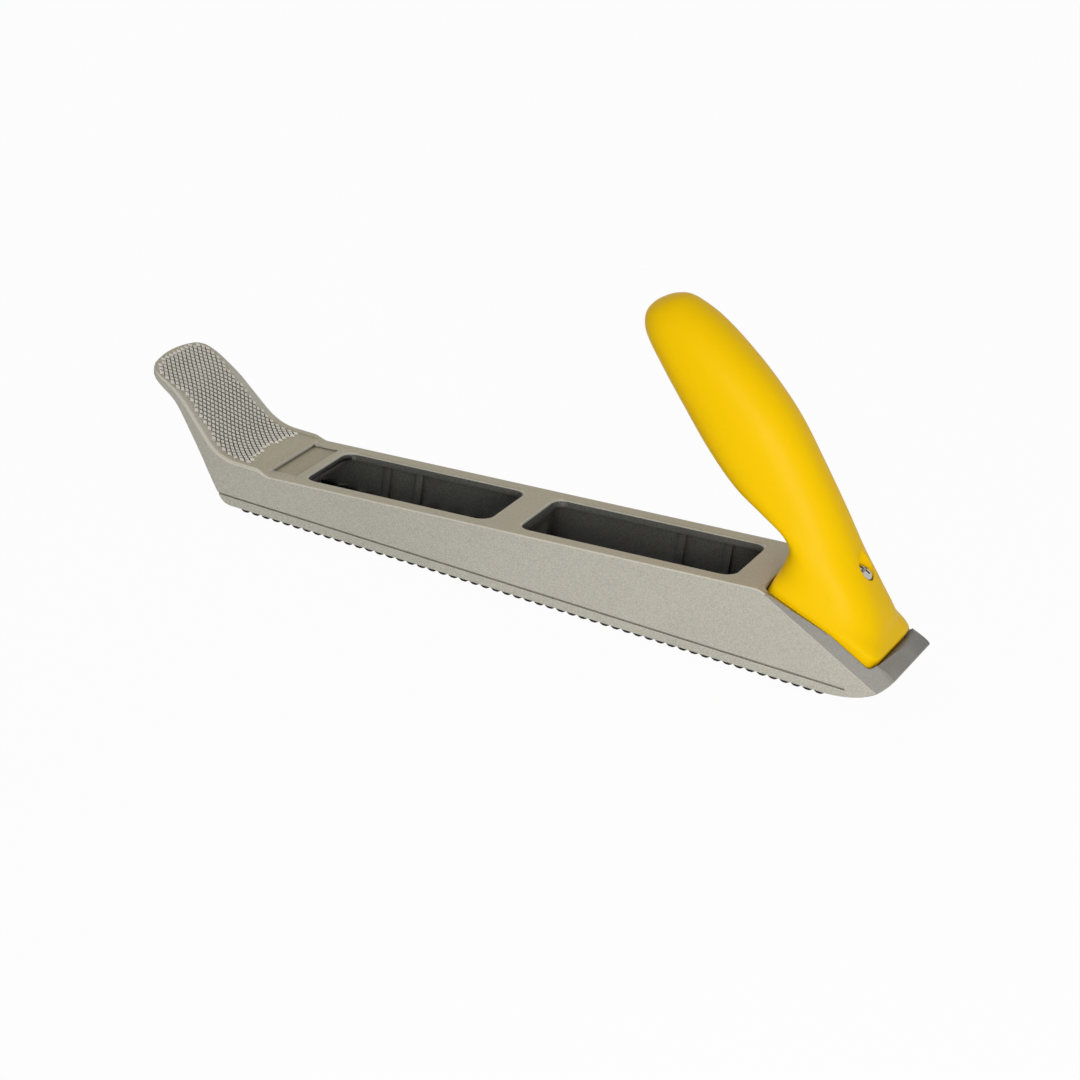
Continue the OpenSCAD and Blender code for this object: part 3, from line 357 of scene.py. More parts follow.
# Painted highlight: a lighter copy of the lacquer for the rounded outer edge of the top
EDGE_HIGHLIGHT = finish(
    "painted_edge_highlight", linear(204, 199, 184), linear(212, 208, 194), metal=0.2, rough=0.36,
    grain_mm=1.2, grain_depth=0.03, speck=0.10, drift=0.05, edge_mm=0.3, sheen_share=0.4,
    hollow_shade=0.7,
)
# Floor of the label recess: a darker pebbled grey, with painted shadow reaching far out from the recess
# walls
PANEL = finish(
    "pebbled_panel", linear(168, 161, 143), linear(172, 168, 154), metal=0.12, rough=0.5,
    grain_mm=1.0, grain_depth=0.16, speck=0.28, drift=0.04, edge_mm=0.3, sheen_share=0.4,
    hollow_shade=0.9, shade_reach_mm=2.5, top_shade_tint=(0.92, 0.86, 0.72, 1.0),
)
# Inside the hollow: a darker rough grey, partly the bare casting and partly painted shade
INSIDE_CAST_AND_SHADE = finish(
    "rough_inside", linear(82, 82, 77), linear(104, 102, 97), metal=0.15, rough=0.5,
    grain_mm=1.0, grain_depth=0.22, speck=0.5, drift=0.08, edge_mm=0.4, sheen_share=0.3,
    shade_reach_mm=3.0,
)
BLACKED = finish(
    "blackened_steel", linear(24, 24, 25), linear(58, 58, 60), metal=0.0, rough=0.5,
    grain_mm=0.8, grain_depth=0.02, speck=0.10, drift=0.05, edge_mm=0.15, sheen_share=0.25,
    specular=0.2,
)
YELLOW = finish(
    "yellow_grip", linear(249, 201, 0), linear(250, 206, 8), metal=0.0, rough=0.4,
    grain_mm=1.6, grain_depth=0.012, speck=0.008, drift=0.012, edge_mm=0.5, sheen_share=0.0,
    specular=0.06, hollow_shade=0.25,
)
ZINC = finish(
    "zinc_plate", linear(187, 184, 179), linear(205, 203, 198), metal=1.0, rough=0.32,
    grain_mm=0.9, grain_depth=0.01, speck=0.05, drift=0.04, edge_mm=0.12, sheen_share=0.4,
)


# Mesh helpers
WELD, FLAT_ANGLE = 1e-6, 0.3


def new_piece(name, mesh, material=None):
    piece = bpy.data.objects.new(name, mesh)
    bpy.context.scene.collection.objects.link(piece)
    if material:
        mesh.materials.append(material)
    return piece


def from_bmesh(name, bm, material=None):
    mesh = bpy.data.meshes.new(name)
    bm.to_mesh(mesh)
    bm.free()
    return new_piece(name, mesh, material)


def bake(piece):
    """The piece with its modifiers made part of its mesh."""
    graph = bpy.context.evaluated_depsgraph_get()
    mesh = bpy.data.meshes.new_from_object(piece.evaluated_get(graph))
    piece.modifiers.clear()
    piece.data = mesh
    return piece


def merged_copy(node, name):
    """A welded copy of a CAD node, with its flat areas in whole faces."""
    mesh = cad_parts[node].data.copy()
    bm = bmesh.new()
    bm.from_mesh(mesh)
    bmesh.ops.remove_doubles(bm, verts=bm.verts, dist=WELD)
    flat = math.radians(FLAT_ANGLE)
    bmesh.ops.dissolve_limit(bm, angle_limit=flat, verts=bm.verts, edges=bm.edges)
    mesh.materials.clear()
    bm.to_mesh(mesh)
    bm.free()
    return new_piece(name, mesh)


def combine(piece, other, operation):
    """Cuts the other piece out of this one or joins the two, and removes the other."""
    boolean = piece.modifiers.new("combine", "BOOLEAN")
    boolean.operation = operation
    boolean.solver = "EXACT"
    boolean.object = other
    bake(piece)
    bpy.data.objects.remove(other)


def cut_away(piece, cutter):
    combine(piece, cutter, "DIFFERENCE")


def grow(piece, tree, **values):
    """Runs a Geometry Nodes tree on a piece, with its inputs set by identifier, and keeps the mesh."""
    modifier = piece.modifiers.new(tree.name, "NODES")
    modifier.node_group = tree
    for item in tree.interface.items_tree:
        if item.in_out == "INPUT" and item.name in values:
            modifier[item.identifier] = values[item.name]
    return bake(piece)


def one_material(piece, material):
    """Gives every face of a piece the same material."""
    mesh = piece.data
    mesh.materials.clear()
    mesh.materials.append(material)
    mesh.polygons.foreach_set("material_index", [0] * len(mesh.polygons))


def smooth(piece, degrees):
    """Smooth shading that stays crisp past an angle and keeps flat faces flat."""
    piece.data.shade_smooth()
    piece.data.set_sharp_from_angle(angle=math.radians(degrees))
    weights = piece.modifiers.new("weights", "WEIGHTED_NORMAL")
    weights.keep_sharp = True
    bake(piece)


def rod(bm, low_radius, high_radius, low, high, place=Matrix.Identity(4), sides=48):
    """A closed cylinder or cone along Z of the frame that place sets."""
    bmesh.ops.create_cone(
        bm, cap_ends=True, segments=sides, radius1=low_radius * MM, radius2=high_radius * MM,
        depth=(high - low) * MM, matrix=place @ Matrix.Translation((0, 0, (low + high) / 2 * MM)),
    )


def tube(name, radius, low, high, place):
    """A round cutter or stub as a piece of its own."""
    bm = bmesh.new()
    rod(bm, radius, radius, low, high, place, 64)
    return from_bmesh(name, bm)


def join(piece, other):
    """Adds the other piece's mesh to this one's, and removes the other."""
    bm = bmesh.new()
    bm.from_mesh(piece.data)
    bm.from_mesh(other.data)
    bmesh.ops.recalc_face_normals(bm, faces=bm.faces)
    bm.to_mesh(piece.data)
    bm.free()
    bpy.data.objects.remove(other)


def loft(bm, rings):
    """Faces through a row of rings that have the same number of points, with both ends filled."""
    loops = [[bm.verts.new(tuple(v * MM for v in p)) for p in ring] for ring in rings]
    for low, high in zip(loops, loops[1:]):
        for k in range(len(low)):
            n = (k + 1) % len(low)
            bm.faces.new((low[k], low[n], high[n], high[k]))
    bm.faces.new(loops[0][::-1])
    bm.faces.new(loops[-1])
    bmesh.ops.recalc_face_normals(bm, faces=bm.faces)


def bend(a, b, c, n=8):
    """Points on the curve from a to c that b pulls, in n steps."""
    a, b, c = (np.array(p, float) for p in (a, b, c))
    return [(1 - t) ** 2 * a + 2 * t * (1 - t) * b + t * t * c for t in np.linspace(0, 1, n + 1)]


def toward(p, q, s):
    """The point a distance s from p on the way to q."""
    p, q = np.array(p, float), np.array(q, float)
    return p + (q - p) * s / np.linalg.norm(q - p)


def soft(p, a, b, s, n=8):
    """The corner p between a and b, rounded from a distance s before it to s past it."""
    return bend(toward(p, a, s), p, toward(p, b, s), n)


def thumb_rest_line():
    """The top of the toe in X and Z, from the tip down to the pad, as in the part's source."""
    tip = (TOE_X, TIP_H)
    brow = (TOE_X + BROW_L, TIP_H - BROW_L * tan(BROW_TILT))
    rest = (brow[0] + (brow[1] - PAD_H) / tan(REST_TILT), PAD_H)
    pad = (PAD_X, PAD_H)
    line = [np.array(tip)] + soft(brow, tip, rest, BROW_R) + soft(rest, brow, pad, REST_R) + [np.array(pad)]
    step_h = deck_z(PAD_X + STEP_L) - PAD_H
    for t in np.linspace(0, 1, 9)[1:]:
        line.append(np.array((PAD_X + t * STEP_L, PAD_H + t * t * (3 - 2 * t) * step_h)))
    return line


def half_width(x):
    """Half the casting's width, which flares from the toe to the sides through two soft corners."""
    start, end = (TOE_X + FLARE_X0, TOE_W / 2), (TOE_X + FLARE_X1, BODY_W / 2)
    flare = soft(start, (TOE_X, TOE_W / 2), end, FLARE_SOFT, FLARE_STEPS)
    flare += soft(end, start, (HEEL_X, BODY_W / 2), FLARE_SOFT, FLARE_STEPS)
    return np.interp(x, [p[0] for p in flare], [p[1] for p in flare])


def dish_depth(x):
    """How deep the thumb rest is dished."""
    return np.interp(x, (DISH_X0, DISH_X0 + DISH_RUN, PAD_X, PAD_X + STEP_L), (0, DISH_D, DISH_D, 0))


def dish_line():
    """The middle of the dished thumb rest, with points where the dish changes."""
    top = thumb_rest_line()
    starts = {DISH_X0, DISH_X0 + DISH_RUN / 2, DISH_X0 + DISH_RUN}
    places = sorted({round(p[0], 4) for p in top if p[0] > DISH_X0} | starts)
    xs, zs = [p[0] for p in top], [p[1] for p in top]
    return [(x, np.interp(x, xs, zs) - dish_depth(x)) for x in places]


def dish_edge(x):
    """How far from the middle the dish's wall stands."""
    places = (TOE_X + FLARE_X0, TOE_X + BROW_L, PAD_X, PAD_X + STEP_L)
    rim = np.interp(x, places, (TIP_RIM, RIM_W, RIM_W, STEP_RIM))
    return half_width(x) - rim - RIM_GAP


def knurl_reach(x):
    """How far from the middle a diamond may stand, clear of the dish's wall and the tip's corners."""
    back = TIP_CORNER - (x - TOE_X - TOE_W ** 2 / 8 / TIP_ARC)
    corner = TOE_W / 2 - TIP_CORNER + math.sqrt(max(0.0, TIP_CORNER ** 2 - max(0.0, back) ** 2))
    return min(dish_edge(x) - DISH_WALL, corner - TIP_RIM) - SIDE_GAP


# Body casting
SKIM, SKIM_TOP, SKIM_STOP = 0.02, 3.0, 0.5
EDGE_BAND, EDGE_LOW, EDGE_X1, PANEL_LOW = 1.0, 8.0, SLOPE_X + 10, 12.0
INSIDE_HALF_W, INSIDE_X0, INSIDE_X1, INSIDE_LOW = 19.4, TOE_X + 36, 126.0, 2.6
DECK_SKIN, POCKET_X0, POCKET_DROP = 0.8, SLOPE_X - 4, 8.0


def casting_finish(x, y, z, normal):
    """The finish of one of the casting's faces, from its middle and the way it looks."""
    lean = abs(normal.y)
    # the rounded outer edge between the sides and the top, painted lighter as a highlight
    looks_out = y * normal.y > 0 and 0.3 < lean < 0.99 and 0.1 < normal.z < 0.93
    if looks_out and abs(y) > half_width(x) - EDGE_BAND and z > EDGE_LOW and x < EDGE_X1:
        return EDGE_HIGHLIGHT
    # the bar across the heel and the bevels of the heel's rails, painted darker as shade
    on_bar = x > BAR_X and normal.x > 0.12 and lean < 0.7
    on_rail = x > SLOPE_X and normal.z > 0.35 and 0.25 < lean < 0.93
    if on_bar or on_rail:
        return SHADED_HEEL_BAR
    # the floor of the label recess
    on_panel = PANEL_X0 < x < PANEL_X1 and abs(y) < PANEL_W / 2 and normal.z > 0.5
    if on_panel and PANEL_LOW < z < deck_z(x) - PANEL_D / 2:
        return PANEL
    # the walls and ceiling of the hollow, which drops under the handle's pocket, in a darker grey that is
    # partly the bare casting and partly painted shade
    inside = abs(y) < INSIDE_HALF_W and INSIDE_X0 < x < INSIDE_X1 and z > INSIDE_LOW
    ceiling = deck_z(x) - DECK_SKIN
    if x > POCKET_X0:
        ceiling -= POCKET_DROP + max(0, x - SLOPE_X) * (tan(DECK_TILT) + tan(SLOPE_TILT))
    if inside and z < ceiling and normal.z < 0.9:
        return INSIDE_CAST_AND_SHADE
    return LACQUER


def dish_skimmer():
    """A cutter that takes the dish's coarse knurl off and leaves a smooth floor."""
    rings = []
    for x, z in dish_line():
        if x > PAD_X + STEP_L - SKIM_STOP:
            continue
        top = z + dish_depth(x)
        above = top + SKIM_TOP
        edge = dish_edge(x)
        half = edge - DISH_WALL
        rings.append([
            (x, -edge, top - SKIM), (x, -half, z - SKIM), (x, half, z - SKIM),
            (x, edge, top - SKIM), (x, edge, above), (x, -edge, above),
        ])
    bm = bmesh.new()
    loft(bm, rings)
    return from_bmesh("skimmer", bm)


def body_casting():
    """The CAD casting, with the dish skimmed so that the finer knurl can stand in it."""
    piece = merged_copy("body", "casting")
    cut_away(piece, dish_skimmer())
    smooth(piece, degrees=43.5)
    mesh = piece.data
    mesh.materials.clear()
    finishes = [LACQUER, INSIDE_CAST_AND_SHADE, PANEL, SHADED_HEEL_BAR, EDGE_HIGHLIGHT]
    for material in finishes:
        mesh.materials.append(material)
    for face in mesh.polygons:
        x, y, z = (v / MM for v in face.center)
        face.material_index = finishes.index(casting_finish(x, y, z, face.normal))
    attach(piece, "frame")
    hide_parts("body")
    return piece


# Knurl
PITCH, DIAMOND, DIAMOND_TOP, DIAMOND_H = 2.7, 1.33, 0.86, 0.5
LINE_L, SIDE_GAP, REAR_GAP, FRONT_GAP = 66.0, 0.5, 0.9, 0.2


def outside_knurl(sheet, value, on_line, across, reach):
    """1 for a point past the dish's sides, the bowed rear edge or the round tip."""
    square = sheet.math("POWER", across, 2.0)
    radius = value["End Radius"]
    chord = sheet.math("SQRT", sheet.math("SUBTRACT", sheet.math("POWER", radius, 2.0), square))
    bow = sheet.math("SUBTRACT", radius, chord)
    rear = sheet.math("ADD", (KNURL_END - KNURL_BOW + TOE_X - REAR_GAP) * MM, bow)
    tip_curve = sheet.math("MULTIPLY", square, 0.5 / (TIP_ARC * MM))
    front = sheet.math("ADD", tip_curve, value["Front"])
    too_wide = sheet.math("GREATER_THAN", across, reach)
    too_low = sheet.math("GREATER_THAN", on_line["X"], rear)
    too_high = sheet.math("LESS_THAN", on_line["X"], front)
    return sheet.math("MAXIMUM", sheet.math("MAXIMUM", too_wide, too_low), too_high)


def knurl_tree():
    """Rows of cut-off pyramids set on a line swept across the toe, every other row half a pitch on."""
    number = "NodeSocketFloat"
    tree, sheet, start, end = new_group(
        "GeometryNodeTree", "Knurl",
        [("Geometry", "NodeSocketGeometry", None), ("Pitch", number, 2.7 * MM), ("Reach", number, 50 * MM),
         ("Width", number, 39 * MM), ("Diamond", number, 1.25 * MM), ("Flat", number, 0.4 * MM),
         ("Height", number, 0.5 * MM), ("End Radius", number, 44 * MM), ("Front", number, -0.145),
         ("Material", "NodeSocketMaterial", None)],
        [("Geometry", "NodeSocketGeometry")],
    )
    value = start.outputs
    pitch = value["Pitch"]
    rows = sheet.math("ADD", sheet.math("FLOOR", sheet.math("DIVIDE", value["Reach"], pitch)), 1.0)
    columns = sheet.math("ADD", sheet.math("FLOOR", sheet.math("DIVIDE", value["Width"], pitch)), 1.0)
    points = sheet.add("GeometryNodeJoinGeometry")
    for share in (0.0, 0.5):
        shift = sheet.math("MULTIPLY", pitch, share)
        sheet.give(points, {0: sheet.grid(rows, columns, pitch, pitch, shift, shift)})

    # lay the flat rows along the line, at the length that each point's X gives
    position = sheet.add("GeometryNodeInputPosition").outputs[0]
    place = sheet.add("ShaderNodeSeparateXYZ", {0: position}).outputs
    run = {"Geometry": points.outputs[0], "Name": "run", "Value": place["X"]}
    marked = sheet.add("GeometryNodeStoreNamedAttribute", run, data_type="FLOAT", domain="POINT").outputs[0]
    line = sheet.add("GeometryNodeMeshToCurve", {"Mesh": value["Geometry"]}).outputs[0]
    asked = {"Curves": line, "Value": sheet.attribute("reach"), "Length": sheet.attribute("run")}
    sample = sheet.add("GeometryNodeSampleCurve", asked, mode="LENGTH").outputs
    on_line = sheet.add("ShaderNodeSeparateXYZ", {0: sample["Position"]}).outputs
    spot = sheet.add("ShaderNodeCombineXYZ", {"X": on_line["X"], "Y": place["Y"], "Z": on_line["Z"]})
    seated = sheet.add("GeometryNodeSetPosition", {"Geometry": marked, "Position": spot.outputs[0]})
    across = sheet.math("ABSOLUTE", place["Y"])
    outside = outside_knurl(sheet, value, on_line, across, sample["Value"])
    dropped = {"Geometry": seated.outputs[0], "Selection": outside}
    chosen = sheet.add("GeometryNodeDeleteGeometry", dropped, domain="POINT").outputs[0]

    # stand a diamond on each point that is left
    tangent = sample["Tangent"]
    normal = sheet.add("ShaderNodeVectorMath", {0: tangent, 1: (0.0, 1.0, 0.0)}, operation="CROSS_PRODUCT")
    axes = {"Primary Axis": normal.outputs[0], "Secondary Axis": tangent}
    stand = sheet.add("FunctionNodeAxesToRotation", axes, primary_axis="Z", secondary_axis="X").outputs[0]
    diamond = sheet.add(
        "GeometryNodeMeshCone",
        {"Vertices": 4, "Side Segments": 1, "Radius Top": value["Flat"], "Radius Bottom": value["Diamond"],
         "Depth": value["Height"]},
    ).outputs["Mesh"]
    placed = {"Points": chosen, "Instance": diamond, "Rotation": stand}
    laid = sheet.add("GeometryNodeInstanceOnPoints", placed).outputs[0]
    sheet.close(end, laid, value["Material"], spare="run")
    return tree


def knurl():
    """The diamonds of the thumb rest, grown on the line of its dish."""
    mesh = bpy.data.meshes.new("knurl")
    tip = TOE_X + KNURL_TIP
    line = [(tip, TIP_H - KNURL_TIP * tan(BROW_TILT))] + dish_line()
    mesh.from_pydata([(x * MM, 0, z * MM) for x, z in line], [(i, i + 1) for i in range(len(line) - 1)], [])
    reach = mesh.attributes.new("reach", "FLOAT", "POINT")
    reach.data.foreach_set("value", [knurl_reach(x) * MM for x, z in line])
    piece = new_piece("knurl", mesh)
    bow = (KNURL_W ** 2 / 4 + KNURL_BOW ** 2) / (2 * KNURL_BOW)
    grow(piece, knurl_tree(), **{
        "Pitch": PITCH * MM, "Reach": LINE_L * MM, "Width": KNURL_W * MM,
        "Diamond": DIAMOND * MM, "Flat": DIAMOND_TOP * MM, "Height": DIAMOND_H * MM,
        "End Radius": bow * MM, "Front": (tip + FRONT_GAP) * MM, "Material": HIGHLIT_KNURL,
    })
    one_material(piece, HIGHLIT_KNURL)
    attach(piece, "frame")
    return piece


# Blade
COLUMNS, ACROSS, COLUMN, CELL = 54, 8, 4.25, 4.9
FRONT_PLAIN, PLAIN_GAP = 3.425, 0.6
FIELD_X0 = BLADE_X0 + FRONT_PLAIN
FIELD_X1 = FIELD_X0 + COLUMNS * COLUMN
SHEET_Z, SHEET_TOP = TOOTH_H, TOOTH_H + BLADE_T
ROW_YS = [k * CELL / 2 for k in range(-ACROSS, ACROSS + 1)]

# An edge tooth: its length in shares of a column against its drop in shares of the tooth height, and
# its section, in shares of how far it is set outwards and of its drop
EDGE_Y, FOLD_Y, TOOTH_SET = BLADE_W / 2, BLADE_W / 2 - 0.6, 0.65
EDGE_TOOTH = ((0.0, 0.0), (0.12, 0.74), (0.34, 1.0), (0.66, 1.0), (0.88, 0.7), (1.0, 0.0))
EDGE_SECTION = ((0.5, 1.0), (1.0, 0.84), (0.0, 0.15))

# A punched tooth: points across it, the hole's front, and how far each row behind the hole is pressed
TOOTH_W, HOLE_FRONT, HOLE_ROUND, TOOTH_THINNED = 4.3, 0.55, 0.5, 0.78
TOOTH_ACROSS = (-1, -0.82, -0.45, 0, 0.45, 0.82, 1)
TOOTH_ROWS = ((2.45, 1.0), (3.05, 0.72), (3.65, 0.34), (4.1, 0.0))


def face(bm, points):
    """A face through points in millimetres, which skips a point that repeats the one before."""
    kept = [p for p, before in zip(points, points[-1:] + points[:-1]) if p != before]
    return bm.faces.new([bm.verts.new(tuple(v * MM for v in p)) for p in kept])


def flat_patch(bm, points, under=None):
    """One flat patch of the strip: its underside and its top."""
    face(bm, [(x, y, SHEET_Z) for x, y in (under or points)[::-1]])
    face(bm, [(x, y, SHEET_TOP) for x, y in points])


def edge_tooth(bm, x0, side):
    """The strip's edge turned down into a tooth that is set outwards, one to each column."""
    def row(t, drop):
        depth, width = drop * TOOTH_H, drop * TOOTH_SET
        section = [(FOLD_Y, SHEET_Z)]
        section += [(EDGE_Y + out * width, SHEET_Z - down * depth) for out, down in EDGE_SECTION]
        return [(x0 + t * COLUMN, side * y, z) for y, z in section]

    rows = [row(t, drop) for t, drop in EDGE_TOOTH]
    for a, b in zip(rows, rows[1:]):
        for k in range(len(EDGE_SECTION)):
            face(bm, [a[k], b[k], b[k + 1], a[k + 1]])
    rim = [(x0 + COLUMN, side * EDGE_Y, SHEET_TOP), (x0, side * EDGE_Y, SHEET_TOP)]
    face(bm, [r[-1] for r in rows] + rim)


def cell_skin(bm, flat, level):
    """The upper or lower skin of a cell. Returns the hole's front edge and the tooth's first row."""
    def vertex(x, y, z):
        return bm.verts.new((x * MM, y * MM, z * MM))

    half, wall = TOOTH_W / 2, CELL / 2
    rows = [[vertex(x, s * half, level(s, press)) for s in TOOTH_ACROSS] for x, press in TOOTH_ROWS]
    lip = [vertex(HOLE_FRONT + HOLE_ROUND * abs(s) ** 4, s * half, flat) for s in TOOTH_ACROSS]
    rim = {(x, y): vertex(x, y, flat) for x in (0, COLUMN) for y in (-wall, 0, wall)}
    for a, b in zip(rows, rows[1:]):
        for i in range(len(TOOTH_ACROSS) - 1):
            bm.faces.new((a[i], b[i], b[i + 1], a[i + 1]))
    for y, order in ((-wall, (0, 1, 2, 3)), (wall, (6, 5, 4, 3))):
        bm.faces.new([rim[0, y], rim[0, 0]] + [lip[i] for i in order[::-1]])
        bm.faces.new([rim[COLUMN, y], rim[COLUMN, 0]] + [rows[-1][i] for i in order[::-1]])
        bm.faces.new([rim[0, y], lip[order[0]]] + [row[order[0]] for row in rows] + [rim[COLUMN, y]])
    return lip, rows[0]


def tooth_cell():
    """One cell of the blade: a hole, and behind it the strip pressed down into a hollow tooth."""
    def bulge(s):
        return TOOTH_H * math.sqrt(max(0, 1 - s ** 2))

    def under(s, press):
        return SHEET_Z - press * bulge(s)

    def above(s, press):
        return under(s, press) + BLADE_T * (1 - TOOTH_THINNED * press * bulge(s) / TOOTH_H)

    bm = bmesh.new()
    low_lip, low_row = cell_skin(bm, SHEET_Z, under)
    lip, row = cell_skin(bm, SHEET_TOP, above)
    last = len(TOOTH_ACROSS) - 1
    for i in range(last):
        bm.faces.new((low_lip[i], low_lip[i + 1], lip[i + 1], lip[i]))
        bm.faces.new((low_row[i], low_row[i + 1], row[i + 1], row[i]))
    for i in (0, last):
        bm.faces.new((low_lip[i], low_row[i], row[i], lip[i]))
    return from_bmesh("tooth_cell", bm)


def teeth_tree():
    """Cells in columns, every other one half a cell across, left out where the strip is plain."""
    number, whole = "NodeSocketFloat", "NodeSocketInt"
    tree, sheet, start, end = new_group(
        "GeometryNodeTree", "Rasp teeth",
        [("Geometry", "NodeSocketGeometry", None), ("Columns", whole, 10), ("Across", whole, 8),
         ("Column Pitch", number, 0.00425), ("Cell Width", number, 0.0049), ("First X", number, 0.0),
         ("Plain Half Width", number, 0.006), ("Plain Front", number, -0.09), ("Plain Rear", number, 0.11),
         ("Material", "NodeSocketMaterial", None)],
        [("Geometry", "NodeSocketGeometry")],
    )
    value = start.outputs
    pitch = value["Column Pitch"]
    step = sheet.math("MULTIPLY", pitch, 2.0)
    points = sheet.add("GeometryNodeJoinGeometry")
    for odd in (0.0, 1.0):
        paired = sheet.math("DIVIDE", sheet.math("ADD", value["Columns"], 1.0 - odd), 2.0)
        columns = sheet.math("FLOOR", paired)
        across = sheet.math("SUBTRACT", value["Across"], odd)
        first = sheet.math("ADD", value["First X"], sheet.math("MULTIPLY", pitch, odd))
        sheet.give(points, {0: sheet.grid(columns, across, step, value["Cell Width"], first)})
    position = sheet.add("GeometryNodeInputPosition").outputs[0]
    place = sheet.add("ShaderNodeSeparateXYZ", {0: position}).outputs
    near_middle = sheet.math("LESS_THAN", sheet.math("ABSOLUTE", place["Y"]), value["Plain Half Width"])
    at_front = sheet.math("LESS_THAN", place["X"], value["Plain Front"])
    at_rear = sheet.math("GREATER_THAN", place["X"], value["Plain Rear"])
    plain = sheet.math("MULTIPLY", near_middle, sheet.math("MAXIMUM", at_front, at_rear))
    dropped = {"Geometry": points.outputs[0], "Selection": plain}
    chosen = sheet.add("GeometryNodeDeleteGeometry", dropped, domain="POINT").outputs[0]
    laid = sheet.add("GeometryNodeInstanceOnPoints", {"Points": chosen, "Instance": value["Geometry"]})
    sheet.close(end, laid.outputs[0], value["Material"])
    return tree


def column_x(column):
    """Where a column of cells starts."""
    return FIELD_X0 + column * COLUMN


def is_plain(x, y):
    """True for a cell, by its toe-side middle, that a hook slot takes."""
    in_reach = x < SLOTS[0][1] + PLAIN_GAP or x + COLUMN > SLOTS[1][0] - PLAIN_GAP
    return abs(y) < SLOT_W / 2 + CELL / 2 and in_reach


def plain_cells(bm, column):
    """The flat cells of a column, where a hook slot leaves no room for teeth."""
    x0, x1 = column_x(column), column_x(column + 1)
    count = ACROSS - column % 2
    for row in range(count):
        y = (row - (count - 1) / 2) * CELL
        if is_plain(x0, y):
            near, far = y - CELL / 2, y + CELL / 2
            flat_patch(bm, [(x0, near), (x1, near), (x1, y), (x1, far), (x0, far), (x0, y)])


def column_margins(bm, column):
    """The flat strip beside a column's last cells on both sides, with its turned-down edge tooth."""
    x0, x1 = column_x(column), column_x(column + 1)
    odd = column % 2
    reach = (ACROSS - odd) * CELL / 2
    folds = [(x0 + t * COLUMN, FOLD_Y) for t, drop in EDGE_TOOTH[::-1]]
    start = [(x0, reach), (x1, reach)] + [(x1, ROW_YS[-1])] * odd
    stop = [(x0, ROW_YS[-1])] * odd
    for side in (-1, 1):
        top = [(x, side * y) for x, y in start + [(x1, EDGE_Y), (x0, EDGE_Y)] + stop]
        under = [(x, side * y) for x, y in start + folds + stop]
        flat_patch(bm, top[::side], under[::side])
        edge_tooth(bm, x0, side)


def strip_end(bm, outer_x, inner_x):
    """A plain end of the strip, from its outer edge to the first or last column."""
    close = [(outer_x, EDGE_Y), (outer_x, -EDGE_Y)]
    top = [(inner_x, y) for y in [-EDGE_Y] + ROW_YS + [EDGE_Y]]
    under = [(inner_x, y) for y in [-EDGE_Y, -FOLD_Y] + ROW_YS + [FOLD_Y, EDGE_Y]]
    flat_patch(bm, top + close, under + close)
    side = [(outer_x, SHEET_Z), (inner_x, SHEET_Z), (inner_x, SHEET_TOP), (outer_x, SHEET_TOP)]
    for y in (-EDGE_Y, EDGE_Y):
        face(bm, [(x, y, z) for x, z in side])
    edge = [(-EDGE_Y, SHEET_Z), (EDGE_Y, SHEET_Z), (EDGE_Y, SHEET_TOP), (-EDGE_Y, SHEET_TOP)]
    face(bm, [(outer_x, y, z) for y, z in edge])


def hook_slot_cutter(x0, x1):
    """A box that cuts the slot for a hook through the strip."""
    low, high = SHEET_Z - 1, SHEET_TOP + 1
    outline = [(x0, low), (x1, low), (x1, high), (x0, high)]
    bm = bmesh.new()
    loft(bm, [[(x, y, z) for x, z in outline] for y in (-SLOT_W / 2, SLOT_W / 2)])
    return from_bmesh("slot", bm)


def blade():
    """The punched strip: cells by Geometry Nodes, then its margins, its ends and its two hook slots."""
    piece = tooth_cell()
    grow(piece, teeth_tree(), **{
        "Columns": COLUMNS, "Across": ACROSS, "Column Pitch": COLUMN * MM, "Cell Width": CELL * MM,
        "First X": FIELD_X0 * MM, "Plain Half Width": (SLOT_W / 2 + CELL / 2) * MM,
        "Plain Front": (SLOTS[0][1] + PLAIN_GAP) * MM,
        "Plain Rear": (SLOTS[1][0] - PLAIN_GAP - COLUMN) * MM, "Material": BLACKED,
    })
    bm = bmesh.new()
    bm.from_mesh(piece.data)
    for column in range(COLUMNS):
        plain_cells(bm, column)
        column_margins(bm, column)
    strip_end(bm, BLADE_X0, FIELD_X0)
    strip_end(bm, BLADE_X1, FIELD_X1)
    bmesh.ops.remove_doubles(bm, verts=bm.verts, dist=2 * WELD)
    bmesh.ops.recalc_face_normals(bm, faces=bm.faces)
    bm.to_mesh(piece.data)
    bm.free()
    for x0, x1 in SLOTS:
        cut_away(piece, hook_slot_cutter(x0, x1))
    piece.name = "rasp_blade"
    smooth(piece, degrees=40)
    one_material(piece, BLACKED)
    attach(piece, "frame")
    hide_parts("blade")
    return piece


# Screws
SHANK_LAP, TIP_BEVEL = 0.2, 0.5


